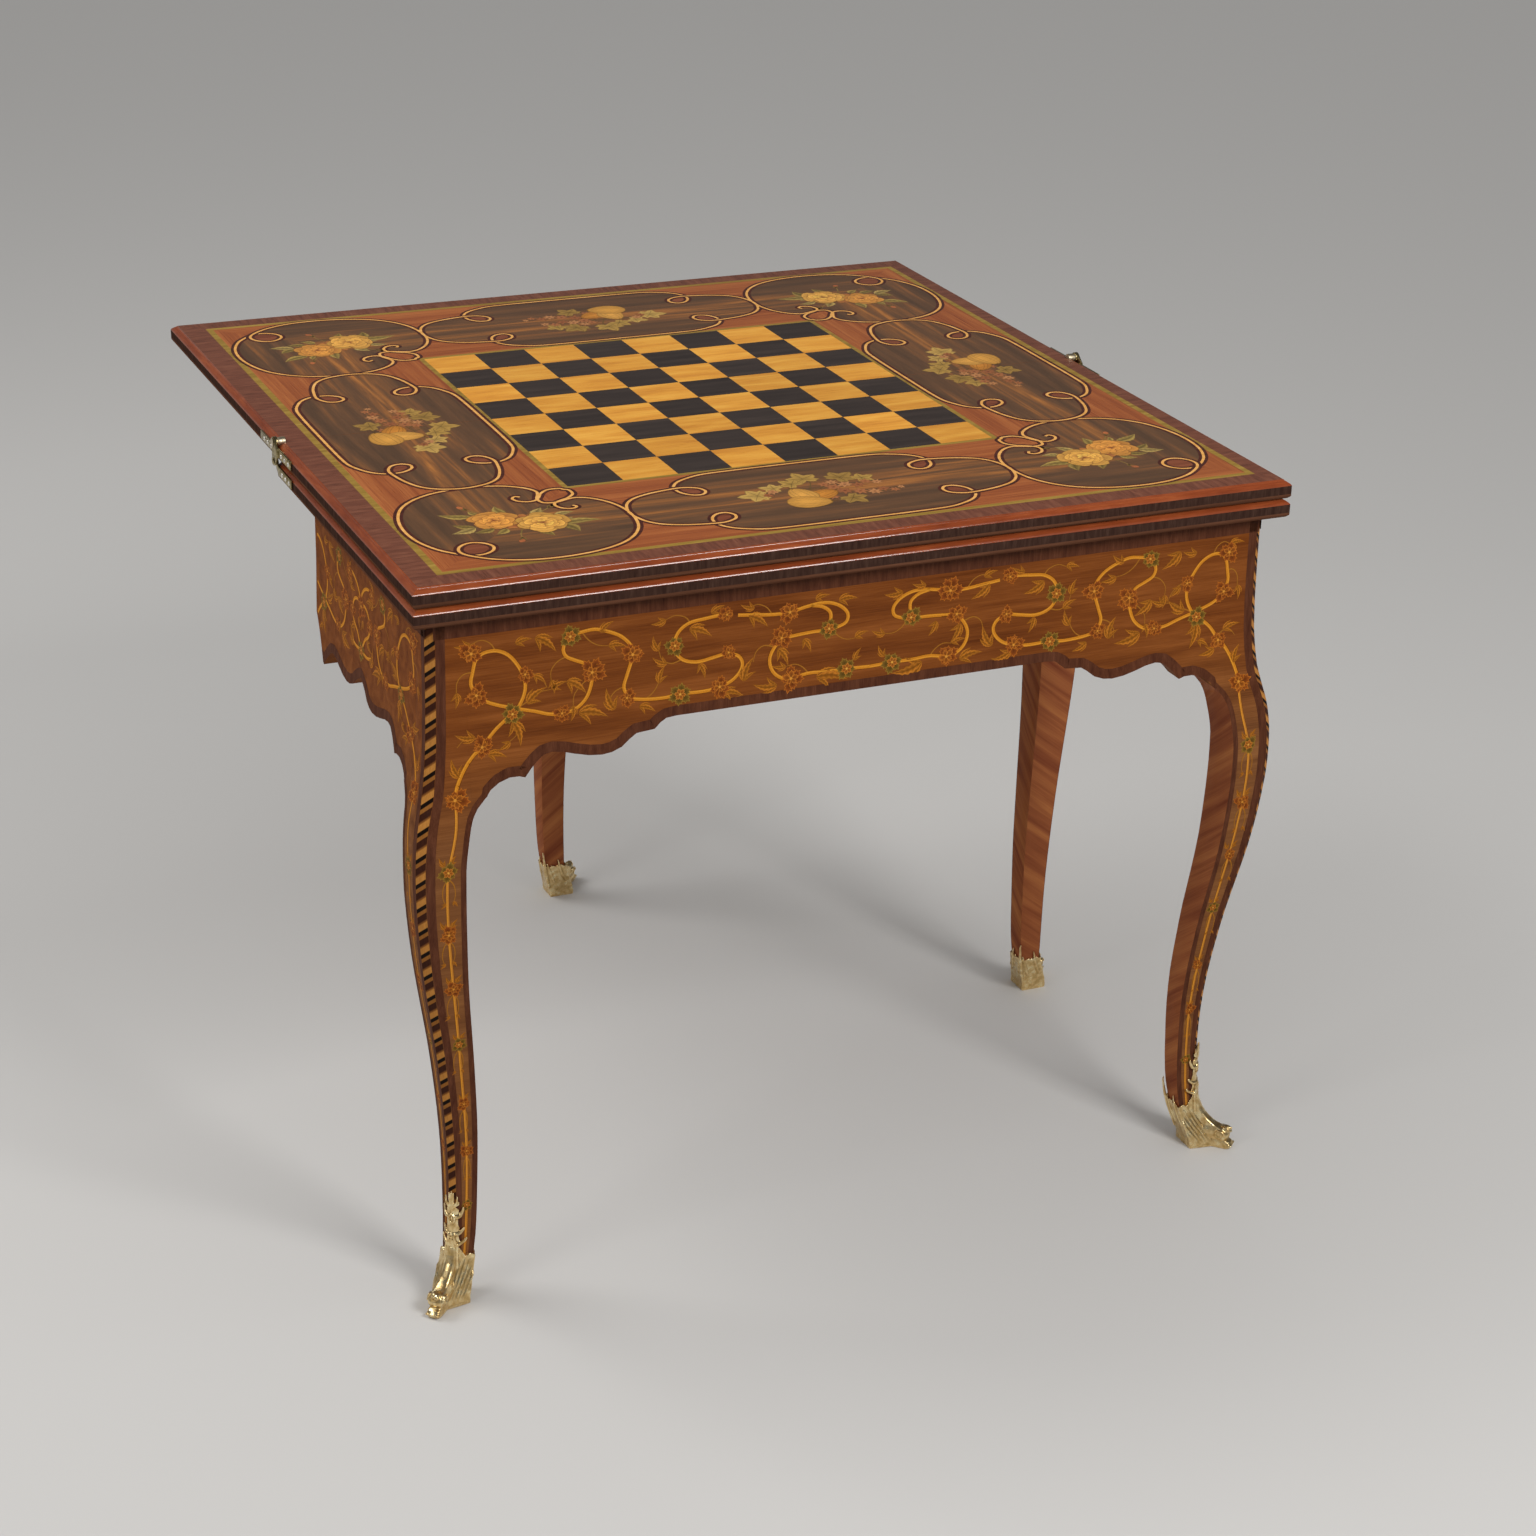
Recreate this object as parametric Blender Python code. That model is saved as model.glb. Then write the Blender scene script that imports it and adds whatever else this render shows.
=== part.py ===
"""Games table: a folding chessboard top on a cabriole frame with one swing leg.

Metres, +Z up. The front faces -Y, the leaves' seam is the X axis, and the floor is Z = 0.
The top leaf is unfolded to the back and the swing leg stands open under it.
"""

import math

import bmesh
import bpy
from mathutils import Vector

# Top: three leaves of one size, each with a moulded edge on three sides
TOP_HEIGHT = 0.760
TOP_WIDTH = 0.905
LEAF_DEPTH = 0.4545
LEAF_THICKNESS = 0.0192
EDGE_WIDTH = 0.015
EDGE_SHOULDER = 0.0034
EDGE_BEVEL = 0.006
VENEER_THICKNESS = 0.0012
EDGE_ARC_STEPS = 5

# Clearances
TOUCH_GAP = 0.0003
END_GAP = 0.0005
CUT_OVERRUN = 0.004

# Frame
FRAME_INSET = 0.017
BACK_INSET = 0.020
POST_SIDE = 0.051
APRON_THICKNESS = 0.022
APRON_HEIGHT = 0.1235
BRACKET_REACH = 0.1925
BRACKET_DROP = 0.0505
EAR_REACH = 0.034
EAR_RISE = 0.055
RAIL_THICKNESS = 0.022
RAIL_HEIGHT = 0.105
RAIL_RECESS = 0.0015
SPACER_WIDTH = 0.055
BRACE_WIDTH = 0.030
BATTEN_SIDE = 0.016

# Legs: square section, outer corner cut off for the rope band
KNEE_REACH = 0.020
ROPE_CUT_LEAST = 0.0031
ROPE_CUT_SHARE = 0.09
FOOT_RISE = 0.008

# Gilt sabots
SABOT_WALL = 0.0022
SABOT_HEIGHT = 0.044
SABOT_SIDE_FLARE = 0.0119
SABOT_FRONT_FLARE = 0.0169
SABOT_FRONT_STEP = 0.004
SABOT_LEAF_HEIGHT = 0.118
SABOT_LEAF_PROUD = 0.0077
SABOT_LEAF_SEAT = 0.010
SABOT_LEAF_WIDTH = 0.013
TOE_REACH = 0.0165
TOE_HEIGHT = 0.0245
TOE_WIDTH = 0.012
TOE_BACK = 0.012

# Side hinges of the leaves
STRAP_THICKNESS = 0.0018
STRAP_HEIGHT = 0.009
STRAP_LENGTH = 0.056
STRAP_NECK = 0.014
STRAP_START = 0.008
UPPER_EYE_RADIUS = 0.0055
LOWER_EYE_RADIUS = 0.005
PIN_RADIUS = 0.0022
PIN_HEAD_RADIUS = 0.0036
PIN_HEAD_HEIGHT = 0.0008
BARREL_RADIUS = 0.0038
BARREL_LENGTH = 0.0135
AXIS_RISE = TOUCH_GAP / 2

# Butt hinges of the swing leg
BUTT_RADIUS = 0.003
BUTT_PIN_RADIUS = 0.0014
BUTT_PROUD = 0.002
BUTT_PLATE = 0.0014
BUTT_LENGTH = 0.050
BUTT_REACH = 0.024
BUTT_KEEP = 0.0005
BUTT_STEP = 0.0002
BUTT_SPACING = 0.055
KNUCKLE_COUNT = 3
GATE_OPEN_TURN = -math.pi / 2

# Round counts
ROUND_STEPS = 16
EYE_STEPS = 10
EYE_START_TURN = 70
EYE_SWEEP = 250

# Worked out from the sizes above
HALF_WIDTH = TOP_WIDTH / 2
LEAF_PITCH = LEAF_THICKNESS + TOUCH_GAP
MIDDLE_BASE = TOP_HEIGHT - LEAF_THICKNESS
BOTTOM_BASE = MIDDLE_BASE - LEAF_PITCH
FRAME_TOP = BOTTOM_BASE - TOUCH_GAP
FRAME_SIDE = HALF_WIDTH - FRAME_INSET
FRAME_FRONT = -(LEAF_DEPTH - FRAME_INSET)
FRAME_BACK = -BACK_INSET
APRON_BASE = FRAME_TOP - APRON_HEIGHT
POST_BASE = APRON_BASE - BRACKET_DROP
UPPER_AXIS = TOP_HEIGHT + AXIS_RISE
LOWER_AXIS = MIDDLE_BASE - AXIS_RISE
GATE_AXIS_Y = FRAME_BACK + BUTT_PROUD
RAIL_BACK = FRAME_BACK - RAIL_RECESS
INNER_RAIL_BACK = FRAME_BACK - POST_SIDE - END_GAP
TOE_HALF = TOE_WIDTH / 2 / math.sqrt(2)
CENTRE_SHIFT = (TOE_REACH + TOE_HALF - FRAME_INSET) / 2
STRAP_RISE = EDGE_BEVEL + (LEAF_THICKNESS - EDGE_BEVEL - EDGE_SHOULDER) / 2
SIDE_FACE = HALF_WIDTH + TOUCH_GAP

# Leg outline: share of the frame's height, and the outer corner's share of KNEE_REACH
LEG_OUTER_SHARES = (
    (0.0, -0.42), (0.055, -0.58), (0.11, -0.70), (0.166, -0.73), (0.222, -0.695), (0.277, -0.565),
    (0.333, -0.345), (0.388, -0.08), (0.444, 0.255), (0.499, 0.575), (0.555, 0.82), (0.610, 0.98),
    (0.638, 1.01), (0.666, 1.0), (0.693, 0.94), (0.721, 0.80), (0.749, 0.56), (0.777, 0.33),
    (0.832, 0.105), (0.915, 0.02), (1.0, 0.0),
)
# Share of the frame's height, and the inner faces' share of POST_SIDE
LEG_INNER_SHARES = (
    (0.0, 0.44), (0.025, 0.55), (0.069, 0.710), (0.111, 0.786), (0.166, 0.822), (0.222, 0.841),
    (0.277, 0.829), (0.333, 0.780), (0.388, 0.720), (0.444, 0.641), (0.499, 0.573), (0.555, 0.535),
    (0.610, 0.514), (0.663, 0.520), (0.682, 0.545), (0.705, 0.600), (0.721, 0.647), (0.7365, 0.720),
    (0.749, 0.843),
)
# Apron bracket from the leg to the straight edge: shares of BRACKET_REACH and BRACKET_DROP
BRACKET_SHARES = (
    (0.0, 1.0), (0.011, 0.911), (0.063, 0.782), (0.120, 0.713), (0.167, 0.717), (0.198, 0.752),
    (0.230, 0.604), (0.261, 0.485), (0.297, 0.376), (0.339, 0.347), (0.396, 0.380), (0.453, 0.446),
    (0.526, 0.515), (0.593, 0.541), (0.645, 0.519), (0.697, 0.446), (0.739, 0.317), (0.775, 0.228),
    (0.869, 0.198), (0.900, 0.089), (0.931, 0.020), (0.983, 0.0), (1.0, 0.0),
)
EAR_SHARE_COUNT = 6
SIDE_ARCH_SHARE = 0.15
# Sabot wall: share of SABOT_HEIGHT, and how far the ring has gone over to the foot's own plan
SABOT_FLARE_SHARES = ((0.0, 0.92), (0.1, 1.0), (0.28, 0.82), (0.52, 0.4), (0.75, 0.12), (1.0, 0.0))
# Leaf up the corner: shares of its height, of how far it stands proud of the leg, and of its width
SABOT_LEAF_SHARES = (
    (0.09, 1.0, 1.0), (0.30, 1.0, 1.05), (0.42, 0.97, 0.95), (0.60, 0.99, 0.9), (0.70, 0.99, 0.8),
    (0.76, 1.0, 1.1), (0.80, 1.02, 1.35), (0.83, 0.97, 1.0), (0.87, 0.93, 0.8), (0.94, 0.84, 0.7),
    (1.0, 0.53, 0.25),
)
# Toe in the diagonal plane: shares of TOE_REACH outwards and of TOE_HEIGHT up
TOE_SHARES = (
    (0.96, 0.0), (1.0, 0.07), (0.98, 0.28), (0.80, 0.38), (0.71, 0.58), (0.73, 0.84), (0.67, 0.96),
    (0.56, 1.0), (0.44, 0.96), (0.36, 0.88), (0.22, 0.86), (0.02, 1.0), (-0.12, 1.1),
)


def clear_scene():
    """Empty the scene that the file opens with."""
    for item in list(bpy.data.objects):
        bpy.data.objects.remove(item, do_unlink=True)


def material(name, colour, roughness, metallic=0.0):
    """Return the named Principled material, made on first use."""
    found = bpy.data.materials.get(name)
    if found:
        return found
    made = bpy.data.materials.new(name)
    made.use_nodes = True
    shader = made.node_tree.nodes["Principled BSDF"]
    shader.inputs["Base Color"].default_value = (*colour, 1.0)
    shader.inputs["Roughness"].default_value = roughness
    shader.inputs["Metallic"].default_value = metallic
    return made


def finish(name):
    """Return one of the table's finishes."""
    finishes = {
        "carcase": ((0.23, 0.12, 0.055), 0.55, 0.0),
        "edge": ((0.20, 0.045, 0.02), 0.28, 0.0),
        "marquetry": ((0.42, 0.21, 0.07), 0.25, 0.0),
        "apron": ((0.26, 0.11, 0.035), 0.33, 0.0),
        "leg": ((0.24, 0.085, 0.03), 0.33, 0.0),
        "gilt": ((0.48, 0.36, 0.13), 0.32, 1.0),
        "hinge_brass": ((0.50, 0.44, 0.28), 0.3, 1.0),
        "hinge_iron": ((0.18, 0.17, 0.16), 0.5, 1.0),
    }
    colour, roughness, metallic = finishes[name]
    return material(name, colour, roughness, metallic)


def place(name, shape, finish_name, parent=None, smooth=False):
    """Turn a bmesh into a named object with its faces pointing out."""
    bmesh.ops.recalc_face_normals(shape, faces=shape.faces)
    mesh = bpy.data.meshes.new(name)
    shape.to_mesh(mesh)
    shape.free()
    if smooth:
        mesh.shade_smooth()
        mesh.set_sharp_from_angle(angle=math.radians(40))
    made = bpy.data.objects.new(name, mesh)
    made.data.materials.append(finish(finish_name))
    bpy.context.scene.collection.objects.link(made)
    if parent:
        made.parent = parent
    return made


def hide_as_cutter(item):
    """Mark an object as a Boolean's cutter or guide."""
    item.hide_render = True
    item.display_type = "WIRE"


def combine(item, other, operation):
    """Add an exact Boolean to item, with other as its hidden operand."""
    change = item.modifiers.new(operation.lower(), "BOOLEAN")
    change.operation = operation
    change.solver = "EXACT"
    change.object = other
    hide_as_cutter(other)


def loft(rings):
    """Skin closed rings of equal length, with a flat face at each end."""
    shape = bmesh.new()
    rows = [[shape.verts.new(point) for point in ring] for ring in rings]
    count = len(rings[0])
    for lower, upper in zip(rows, rows[1:]):
        for index in range(count):
            following = (index + 1) % count
            shape.faces.new((lower[index], lower[following], upper[following], upper[index]))
    shape.faces.new(rows[0])
    shape.faces.new(list(reversed(rows[-1])))
    return shape


def box(low, high):
    """Return a box between two corners."""
    rings = []
    for z in (low[2], high[2]):
        rings.append([(low[0], low[1], z), (high[0], low[1], z), (high[0], high[1], z), (low[0], high[1], z)])
    return loft(rings)


def prism(outline, start, end, axis):
    """Extrude a flat outline from start to end along the X or the Y axis."""
    rings = []
    for along in (start, end):
        if axis == "X":
            rings.append([(along, first, second) for first, second in outline])
        else:
            rings.append([(first, along, second) for first, second in outline])
    return loft(rings)


def arc(centre, radius, start, end, steps):
    """Return points on a circle in a plane, from start to end in degrees."""
    points = []
    for step in range(steps + 1):
        angle = math.radians(start + (end - start) * step / steps)
        points.append((centre[0] + radius * math.cos(angle), centre[1] + radius * math.sin(angle)))
    return points


def turned(profile, axis, centre, steps=ROUND_STEPS):
    """Revolve (distance along, radius) pairs about an axis through centre."""
    rings = []
    for along, radius in profile:
        ring = []
        for step in range(steps):
            angle = 2 * math.pi * step / steps
            across = radius * math.cos(angle)
            up = radius * math.sin(angle)
            offset = Vector((along, across, up)) if axis == "X" else Vector((across, up, along))
            ring.append(Vector(centre) + offset)
        rings.append(ring)
    return loft(rings)


def smooth_share(table, value):
    """Read a table of (place, share) pairs as a smooth curve."""
    if value <= table[0][0]:
        return table[0][1]
    if value >= table[-1][0]:
        return table[-1][1]
    index = 0
    while table[index + 1][0] < value:
        index += 1
    left = table[index]
    right = table[index + 1]
    before = table[max(index - 1, 0)]
    after = table[min(index + 2, len(table) - 1)]
    span = right[0] - left[0]
    part = (value - left[0]) / span
    slope_left = (right[1] - before[1]) / (right[0] - before[0]) * span
    slope_right = (after[1] - left[1]) / (after[0] - left[0]) * span
    cube = part ** 3
    square = part ** 2
    start = (2 * cube - 3 * square + 1) * left[1] + (cube - 2 * square + part) * slope_left
    return start + (3 * square - 2 * cube) * right[1] + (cube - square) * slope_right


def corner_reach(height):
    """Distance of the legs' and aprons' outer faces beyond the frame's planes."""
    return KNEE_REACH * smooth_share(LEG_OUTER_SHARES, height / FRAME_TOP)


def inner_reach(height):
    """Distance of a leg's inner faces inside the frame's planes."""
    if height >= POST_BASE:
        return POST_SIDE
    return min(POST_SIDE, POST_SIDE * smooth_share(LEG_INNER_SHARES, height / FRAME_TOP))


def leg_section(height, grow=0.0):
    """Five points of a leg's section, as distances out of the frame's corner."""
    out = corner_reach(height) + grow
    back = -inner_reach(height) - grow
    cut = ROPE_CUT_LEAST + ROPE_CUT_SHARE * (out - back)
    return [(out, out - cut), (out - cut, out), (back, out), (back, back), (out, back)]


def leg_ring(corner, signs, height, grow=0.0):
    """Place a leg's section at a height."""
    ring = []
    for first, second in leg_section(height, grow):
        ring.append((corner[0] + signs[0] * first, corner[1] + signs[1] * second, height))
    return ring


def leg_heights():
    """Heights of a leg's rings, closest where the outline turns."""
    shares = sorted({row[0] for row in LEG_OUTER_SHARES + LEG_INNER_SHARES})
    heights = [FOOT_RISE]
    for lower, upper in zip(shares, shares[1:]):
        for height in (FRAME_TOP * (lower + upper) / 2, FRAME_TOP * upper):
            if height > FOOT_RISE + CUT_OVERRUN and abs(height - POST_BASE) > CUT_OVERRUN:
                heights.append(height)
    heights.append(POST_BASE)
    return sorted(heights)


def leg(name, corner, signs, parent=None):
    """A cabriole leg with its post, up to the bottom leaf."""
    rings = [leg_ring(corner, signs, height) for height in leg_heights()]
    return place(name, loft(rings), "leg", parent)


def sabot_ring(corner, signs, share, flare):
    """One ring of a sabot's wall, between the leg's section and the foot's plan."""
    height = SABOT_HEIGHT * share
    front = corner_reach(0.0) + SABOT_FRONT_FLARE
    face = corner_reach(0.0) + SABOT_SIDE_FLARE
    heel = -inner_reach(height) - SABOT_WALL
    plan = [
        (front, front - SABOT_FRONT_STEP),
        (front - SABOT_FRONT_STEP, front),
        (heel, face),
        (heel, heel),
        (face, heel),
    ]
    wall = leg_section(max(height, FOOT_RISE), SABOT_WALL)
    ring = []
    for base, upper in zip(plan, wall):
        first = upper[0] + (base[0] - upper[0]) * flare
        second = upper[1] + (base[1] - upper[1]) * flare
        ring.append((corner[0] + signs[0] * first, corner[1] + signs[1] * second, height))
    return ring


def diagonal_ring(corner, signs, out, back, half_width, height):
    """A rectangle across a foot's diagonal plane."""
    side = half_width / math.sqrt(2)
    ring = []
    for reach, shift in ((out, side), (out, -side), (back, -side), (back, side)):
        ring.append((
            corner[0] + signs[0] * (reach + shift),
            corner[1] + signs[1] * (reach - shift),
            height,
        ))
    return ring


def sabot_leaf(corner, signs):
    """The leaf that runs up the leg's corner."""
    rings = []
    for height_share, proud_share, width_share in SABOT_LEAF_SHARES:
        height = SABOT_LEAF_HEIGHT * height_share
        edge = leg_section(height)[0]
        face = (edge[0] + edge[1]) / 2
        out = face + SABOT_LEAF_PROUD * proud_share
        half_width = SABOT_LEAF_WIDTH * width_share / 2
        rings.append(diagonal_ring(corner, signs, out, face - SABOT_LEAF_SEAT, half_width, height))
    return loft(rings)


def sabot_toe(corner, signs):
    """The scrolled toe, extruded across the diagonal plane."""
    outline = [(TOE_REACH * out, TOE_HEIGHT * up) for out, up in TOE_SHARES]
    outline += [(-TOE_BACK, TOE_HEIGHT), (-TOE_BACK, 0.0)]
    rings = []
    for shift in (TOE_HALF, -TOE_HALF):
        ring = []
        for reach, height in outline:
            ring.append((
                corner[0] + signs[0] * (reach + shift),
                corner[1] + signs[1] * (reach - shift),
                height,
            ))
        rings.append(ring)
    return loft(rings)


def sabot(name, corner, signs, parent=None):
    """A gilt sabot: wall, toe and corner leaf, hollow where the foot stands in it."""
    rings = [sabot_ring(corner, signs, share, flare) for share, flare in SABOT_FLARE_SHARES]
    shell = place(name, loft(rings), "gilt", parent)
    toe = place(name + "_toe", sabot_toe(corner, signs), "gilt", parent)
    combine(shell, toe, "UNION")
    leaf = place(name + "_leaf", sabot_leaf(corner, signs), "gilt", parent)
    combine(shell, leaf, "UNION")
    tallest = SABOT_LEAF_HEIGHT + CUT_OVERRUN
    heights = [height for height in leg_heights() if height < tallest + CUT_OVERRUN]
    rings = [leg_ring(corner, signs, FOOT_RISE - TOUCH_GAP, TOUCH_GAP)]
    rings += [leg_ring(corner, signs, height, TOUCH_GAP) for height in heights[1:]]
    rings.append(leg_ring(corner, signs, tallest + SABOT_HEIGHT, TOUCH_GAP))
    socket = place(name + "_socket", loft(rings), "gilt", parent)
    combine(shell, socket, "DIFFERENCE")
    return shell


def edge_section():
    """Outline of a leaf's edge: distance out from the core, and height in the leaf."""
    outline = [(0.0, 0.0), (EDGE_WIDTH - EDGE_BEVEL, 0.0), (EDGE_WIDTH, EDGE_BEVEL)]
    for step in range(EDGE_ARC_STEPS):
        angle = math.pi / 2 * step / EDGE_ARC_STEPS
        out = EDGE_WIDTH * math.cos(angle)
        up = LEAF_THICKNESS - EDGE_SHOULDER + EDGE_SHOULDER * math.sin(angle)
        outline.append((out, up))
    outline.append((0.0, LEAF_THICKNESS))
    return outline


def hinge_groove(name, parent):
    """Cutter for the half-round groove that the upper hinge's barrel lies in."""
    start = HALF_WIDTH - BARREL_LENGTH - TOUCH_GAP
    end = HALF_WIDTH + CUT_OVERRUN
    side = -1 if name.endswith("left") else 1
    profile = [(side * along, BARREL_RADIUS + TOUCH_GAP) for along in (start, end)]
    centre = (0.0, 0.0, 0.0) if parent else (0.0, 0.0, UPPER_AXIS)
    cutter = place(name + "_groove", turned(profile, "X", centre), "edge", parent)
    hide_as_cutter(cutter)
    return cutter


def leaf(name, base, towards, with_marquetry, parent=None):
    """One leaf: core, moulded edges on three sides and, where it shows, a marquetry sheet.

    towards is -1 for a leaf in front of the seam and 1 behind it. base is its underside's
    height, below the parent if it has one.
    """
    inner_width = HALF_WIDTH - EDGE_WIDTH
    inner_depth = LEAF_DEPTH - EDGE_WIDTH
    seam = TOUCH_GAP / 2
    ends = sorted((towards * seam, towards * (inner_depth - TOUCH_GAP)))
    core_side = inner_width - TOUCH_GAP
    core_top = base + LEAF_THICKNESS
    if with_marquetry:
        sheet_low = (-core_side, ends[0], core_top - VENEER_THICKNESS)
        sheet = box(sheet_low, (core_side, ends[1], core_top))
        place(name + "_marquetry", sheet, "marquetry", parent)
        core_top -= VENEER_THICKNESS + TOUCH_GAP
    core = box((-core_side, ends[0], base), (core_side, ends[1], core_top))
    place(name + "_core", core, "carcase", parent)

    long_edge = []
    for side in (-1, 1):
        ring = []
        for out, up in edge_section():
            across = side * (inner_width + out - TOUCH_GAP)
            ring.append((across, towards * (inner_depth + out), base + up))
        long_edge.append(ring)
    place(name + ("_front_edge" if towards < 0 else "_back_edge"), loft(long_edge), "edge", parent)

    for side, label in ((-1, "left"), (1, "right")):
        rings = []
        for at_seam in (True, False):
            ring = []
            for out, up in edge_section():
                along = seam if at_seam else inner_depth + out - TOUCH_GAP
                ring.append((side * (inner_width + out), towards * along, base + up))
            rings.append(ring)
        edge_name = name + "_edge_" + label
        edge = place(edge_name, loft(rings), "edge", parent)
        if with_marquetry:
            combine(edge, hinge_groove(edge_name, parent), "DIFFERENCE")


def apron_slab_outline(side_plane, outward):
    """Section of an apron: its face follows the legs, its back is APRON_THICKNESS behind."""
    heights = [FRAME_TOP, FRAME_TOP - APRON_HEIGHT / 2, APRON_BASE]
    for share in (0.25, 0.5, 0.75, 1.0, 1.25):
        heights.append(APRON_BASE - BRACKET_DROP * share)
    face = [(side_plane + outward * corner_reach(height), height) for height in heights]
    back = [(across - outward * APRON_THICKNESS, height) for across, height in reversed(face)]
    return face + back


def bracket_points(post_face, direction, limit):
    """Lower outline of an apron from a post's face towards its middle, cut off at limit."""
    points = []
    for reach_share, drop_share in BRACKET_SHARES:
        reach = BRACKET_REACH * reach_share
        if reach >= limit:
            break
        points.append((post_face + direction * reach, APRON_BASE - BRACKET_DROP * drop_share))
    return points


def apron_outline(start, end):
    """Outline of an apron between two posts; a short one has a small arch at its middle."""
    half = (end - start) / 2
    outline = bracket_points(start, 1, half)
    if half < BRACKET_REACH:
        outline.append((start + half, APRON_BASE - BRACKET_DROP * SIDE_ARCH_SHARE))
    outline += reversed(bracket_points(end, -1, half))
    outline += [(end, FRAME_TOP), (start, FRAME_TOP)]
    return outline


def front_apron():
    """The long apron, its face flush with the legs."""
    side = FRAME_SIDE - POST_SIDE - TOUCH_GAP
    slab = prism(apron_slab_outline(FRAME_FRONT, -1), -side, side, "X")
    apron = place("front_apron", slab, "apron")
    cover = KNEE_REACH + APRON_THICKNESS + CUT_OVERRUN
    view = prism(apron_outline(-side, side), FRAME_FRONT - cover, FRAME_FRONT + cover, "Y")
    combine(apron, place("front_apron_view", view, "apron"), "INTERSECT")


def ear_joint(post_face):
    """The slanting joint between the left apron and the swing leg's ear, top to bottom."""
    top = (post_face, APRON_BASE - BRACKET_DROP + EAR_RISE)
    reach_share = EAR_REACH / BRACKET_REACH
    drop = BRACKET_DROP * smooth_share(BRACKET_SHARES[:EAR_SHARE_COUNT], reach_share)
    return [top, (post_face - EAR_REACH, APRON_BASE - drop)]


def left_apron_outline(start, end):
    """Side view of the left apron, with the ear left off its back end."""
    joint_top, joint_foot = ear_joint(end)
    whole = apron_outline(start, end)
    middle = (start + end) / 2
    kept = [point for point in whole[:-2] if point[0] < middle + CUT_OVERRUN or point[0] < joint_foot[0]]
    return kept + [joint_foot, joint_top] + whole[-2:]


def side_apron(label, side):
    """A short apron, its face flush with the legs."""
    start = FRAME_FRONT + POST_SIDE + TOUCH_GAP
    end = FRAME_BACK - POST_SIDE - TOUCH_GAP
    slab = prism(apron_slab_outline(side * FRAME_SIDE, side), start, end, "Y")
    apron = place(label + "_apron", slab, "apron")
    outline = left_apron_outline(start, end) if label == "left" else apron_outline(start, end)
    cover = KNEE_REACH + APRON_THICKNESS + CUT_OVERRUN
    view = prism(outline, side * FRAME_SIDE - cover, side * FRAME_SIDE + cover, "X")
    combine(apron, place(label + "_apron_view", view, "apron"), "INTERSECT")


def gate_ear(parent):
    """The bracket that the swing leg carries under the left apron's end."""
    post_face = FRAME_BACK - POST_SIDE - GATE_AXIS_Y - TOUCH_GAP
    joint_top, joint_foot = ear_joint(post_face)
    outline = [(post_face, joint_top[1] - END_GAP * 2)]
    outline.append((joint_foot[0] + END_GAP, joint_foot[1]))
    for reach_share, drop_share in reversed(BRACKET_SHARES):
        reach = BRACKET_REACH * reach_share
        if reach < EAR_REACH - END_GAP:
            outline.append((post_face - reach, APRON_BASE - BRACKET_DROP * drop_share))
    slab = prism(apron_slab_outline(-FRAME_SIDE, -1), post_face - BRACKET_REACH, post_face, "Y")
    ear = place("gate_leg_ear", slab, "leg", parent)
    cover = KNEE_REACH + APRON_THICKNESS + CUT_OVERRUN
    view = prism(outline, -FRAME_SIDE - cover, -FRAME_SIDE + cover, "X")
    combine(ear, place("gate_leg_ear_view", view, "leg", parent), "INTERSECT")


def back_rails():
    """Fixed rails behind: the outer one ends at the swing leg's hinge, the inner one runs through."""
    rail_top = FRAME_TOP - END_GAP
    low = rail_top - RAIL_HEIGHT
    post = FRAME_SIDE - POST_SIDE - TOUCH_GAP
    outer = box((END_GAP, RAIL_BACK - RAIL_THICKNESS, low), (post, RAIL_BACK, rail_top))
    place("back_rail_outer", outer, "carcase")
    inside = FRAME_SIDE - APRON_THICKNESS - TOUCH_GAP
    inner_front = INNER_RAIL_BACK - RAIL_THICKNESS
    place("back_rail_inner", box((-inside, inner_front, low), (inside, INNER_RAIL_BACK, rail_top)), "carcase")
    spacer_front = INNER_RAIL_BACK + TOUCH_GAP
    spacer_back = RAIL_BACK - RAIL_THICKNESS - TOUCH_GAP
    for label, start in (("middle", END_GAP), ("right", post - SPACER_WIDTH)):
        spacer = box((start, spacer_front, low), (start + SPACER_WIDTH, spacer_back, rail_top))
        place("rail_spacer_" + label, spacer, "carcase")


def inside_timbers():
    """The cross brace and the battens that the bottom leaf is screwed to."""
    rail_top = FRAME_TOP - END_GAP
    front = FRAME_FRONT + APRON_THICKNESS + TOUCH_GAP
    back = INNER_RAIL_BACK - RAIL_THICKNESS - TOUCH_GAP
    side = FRAME_SIDE - APRON_THICKNESS - TOUCH_GAP
    half_brace = BRACE_WIDTH / 2
    brace = box((-half_brace, front, rail_top - RAIL_HEIGHT / 2), (half_brace, back, rail_top))
    place("cross_brace", brace, "carcase")
    batten_low = FRAME_TOP - BATTEN_SIDE
    post = FRAME_SIDE - POST_SIDE - TOUCH_GAP
    near_brace = half_brace + TOUCH_GAP
    for label, sign in (("left", -1), ("right", 1)):
        ends = sorted((sign * near_brace, sign * post))
        strip = box((ends[0], front, batten_low), (ends[1], front + BATTEN_SIDE, FRAME_TOP))
        place("front_batten_" + label, strip, "carcase")
        ends = sorted((sign * side, sign * (side - BATTEN_SIDE)))
        post_front = FRAME_FRONT + POST_SIDE + TOUCH_GAP
        strip = box((ends[0], post_front, batten_low), (ends[1], back, FRAME_TOP))
        place("side_batten_" + label, strip, "carcase")


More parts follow.
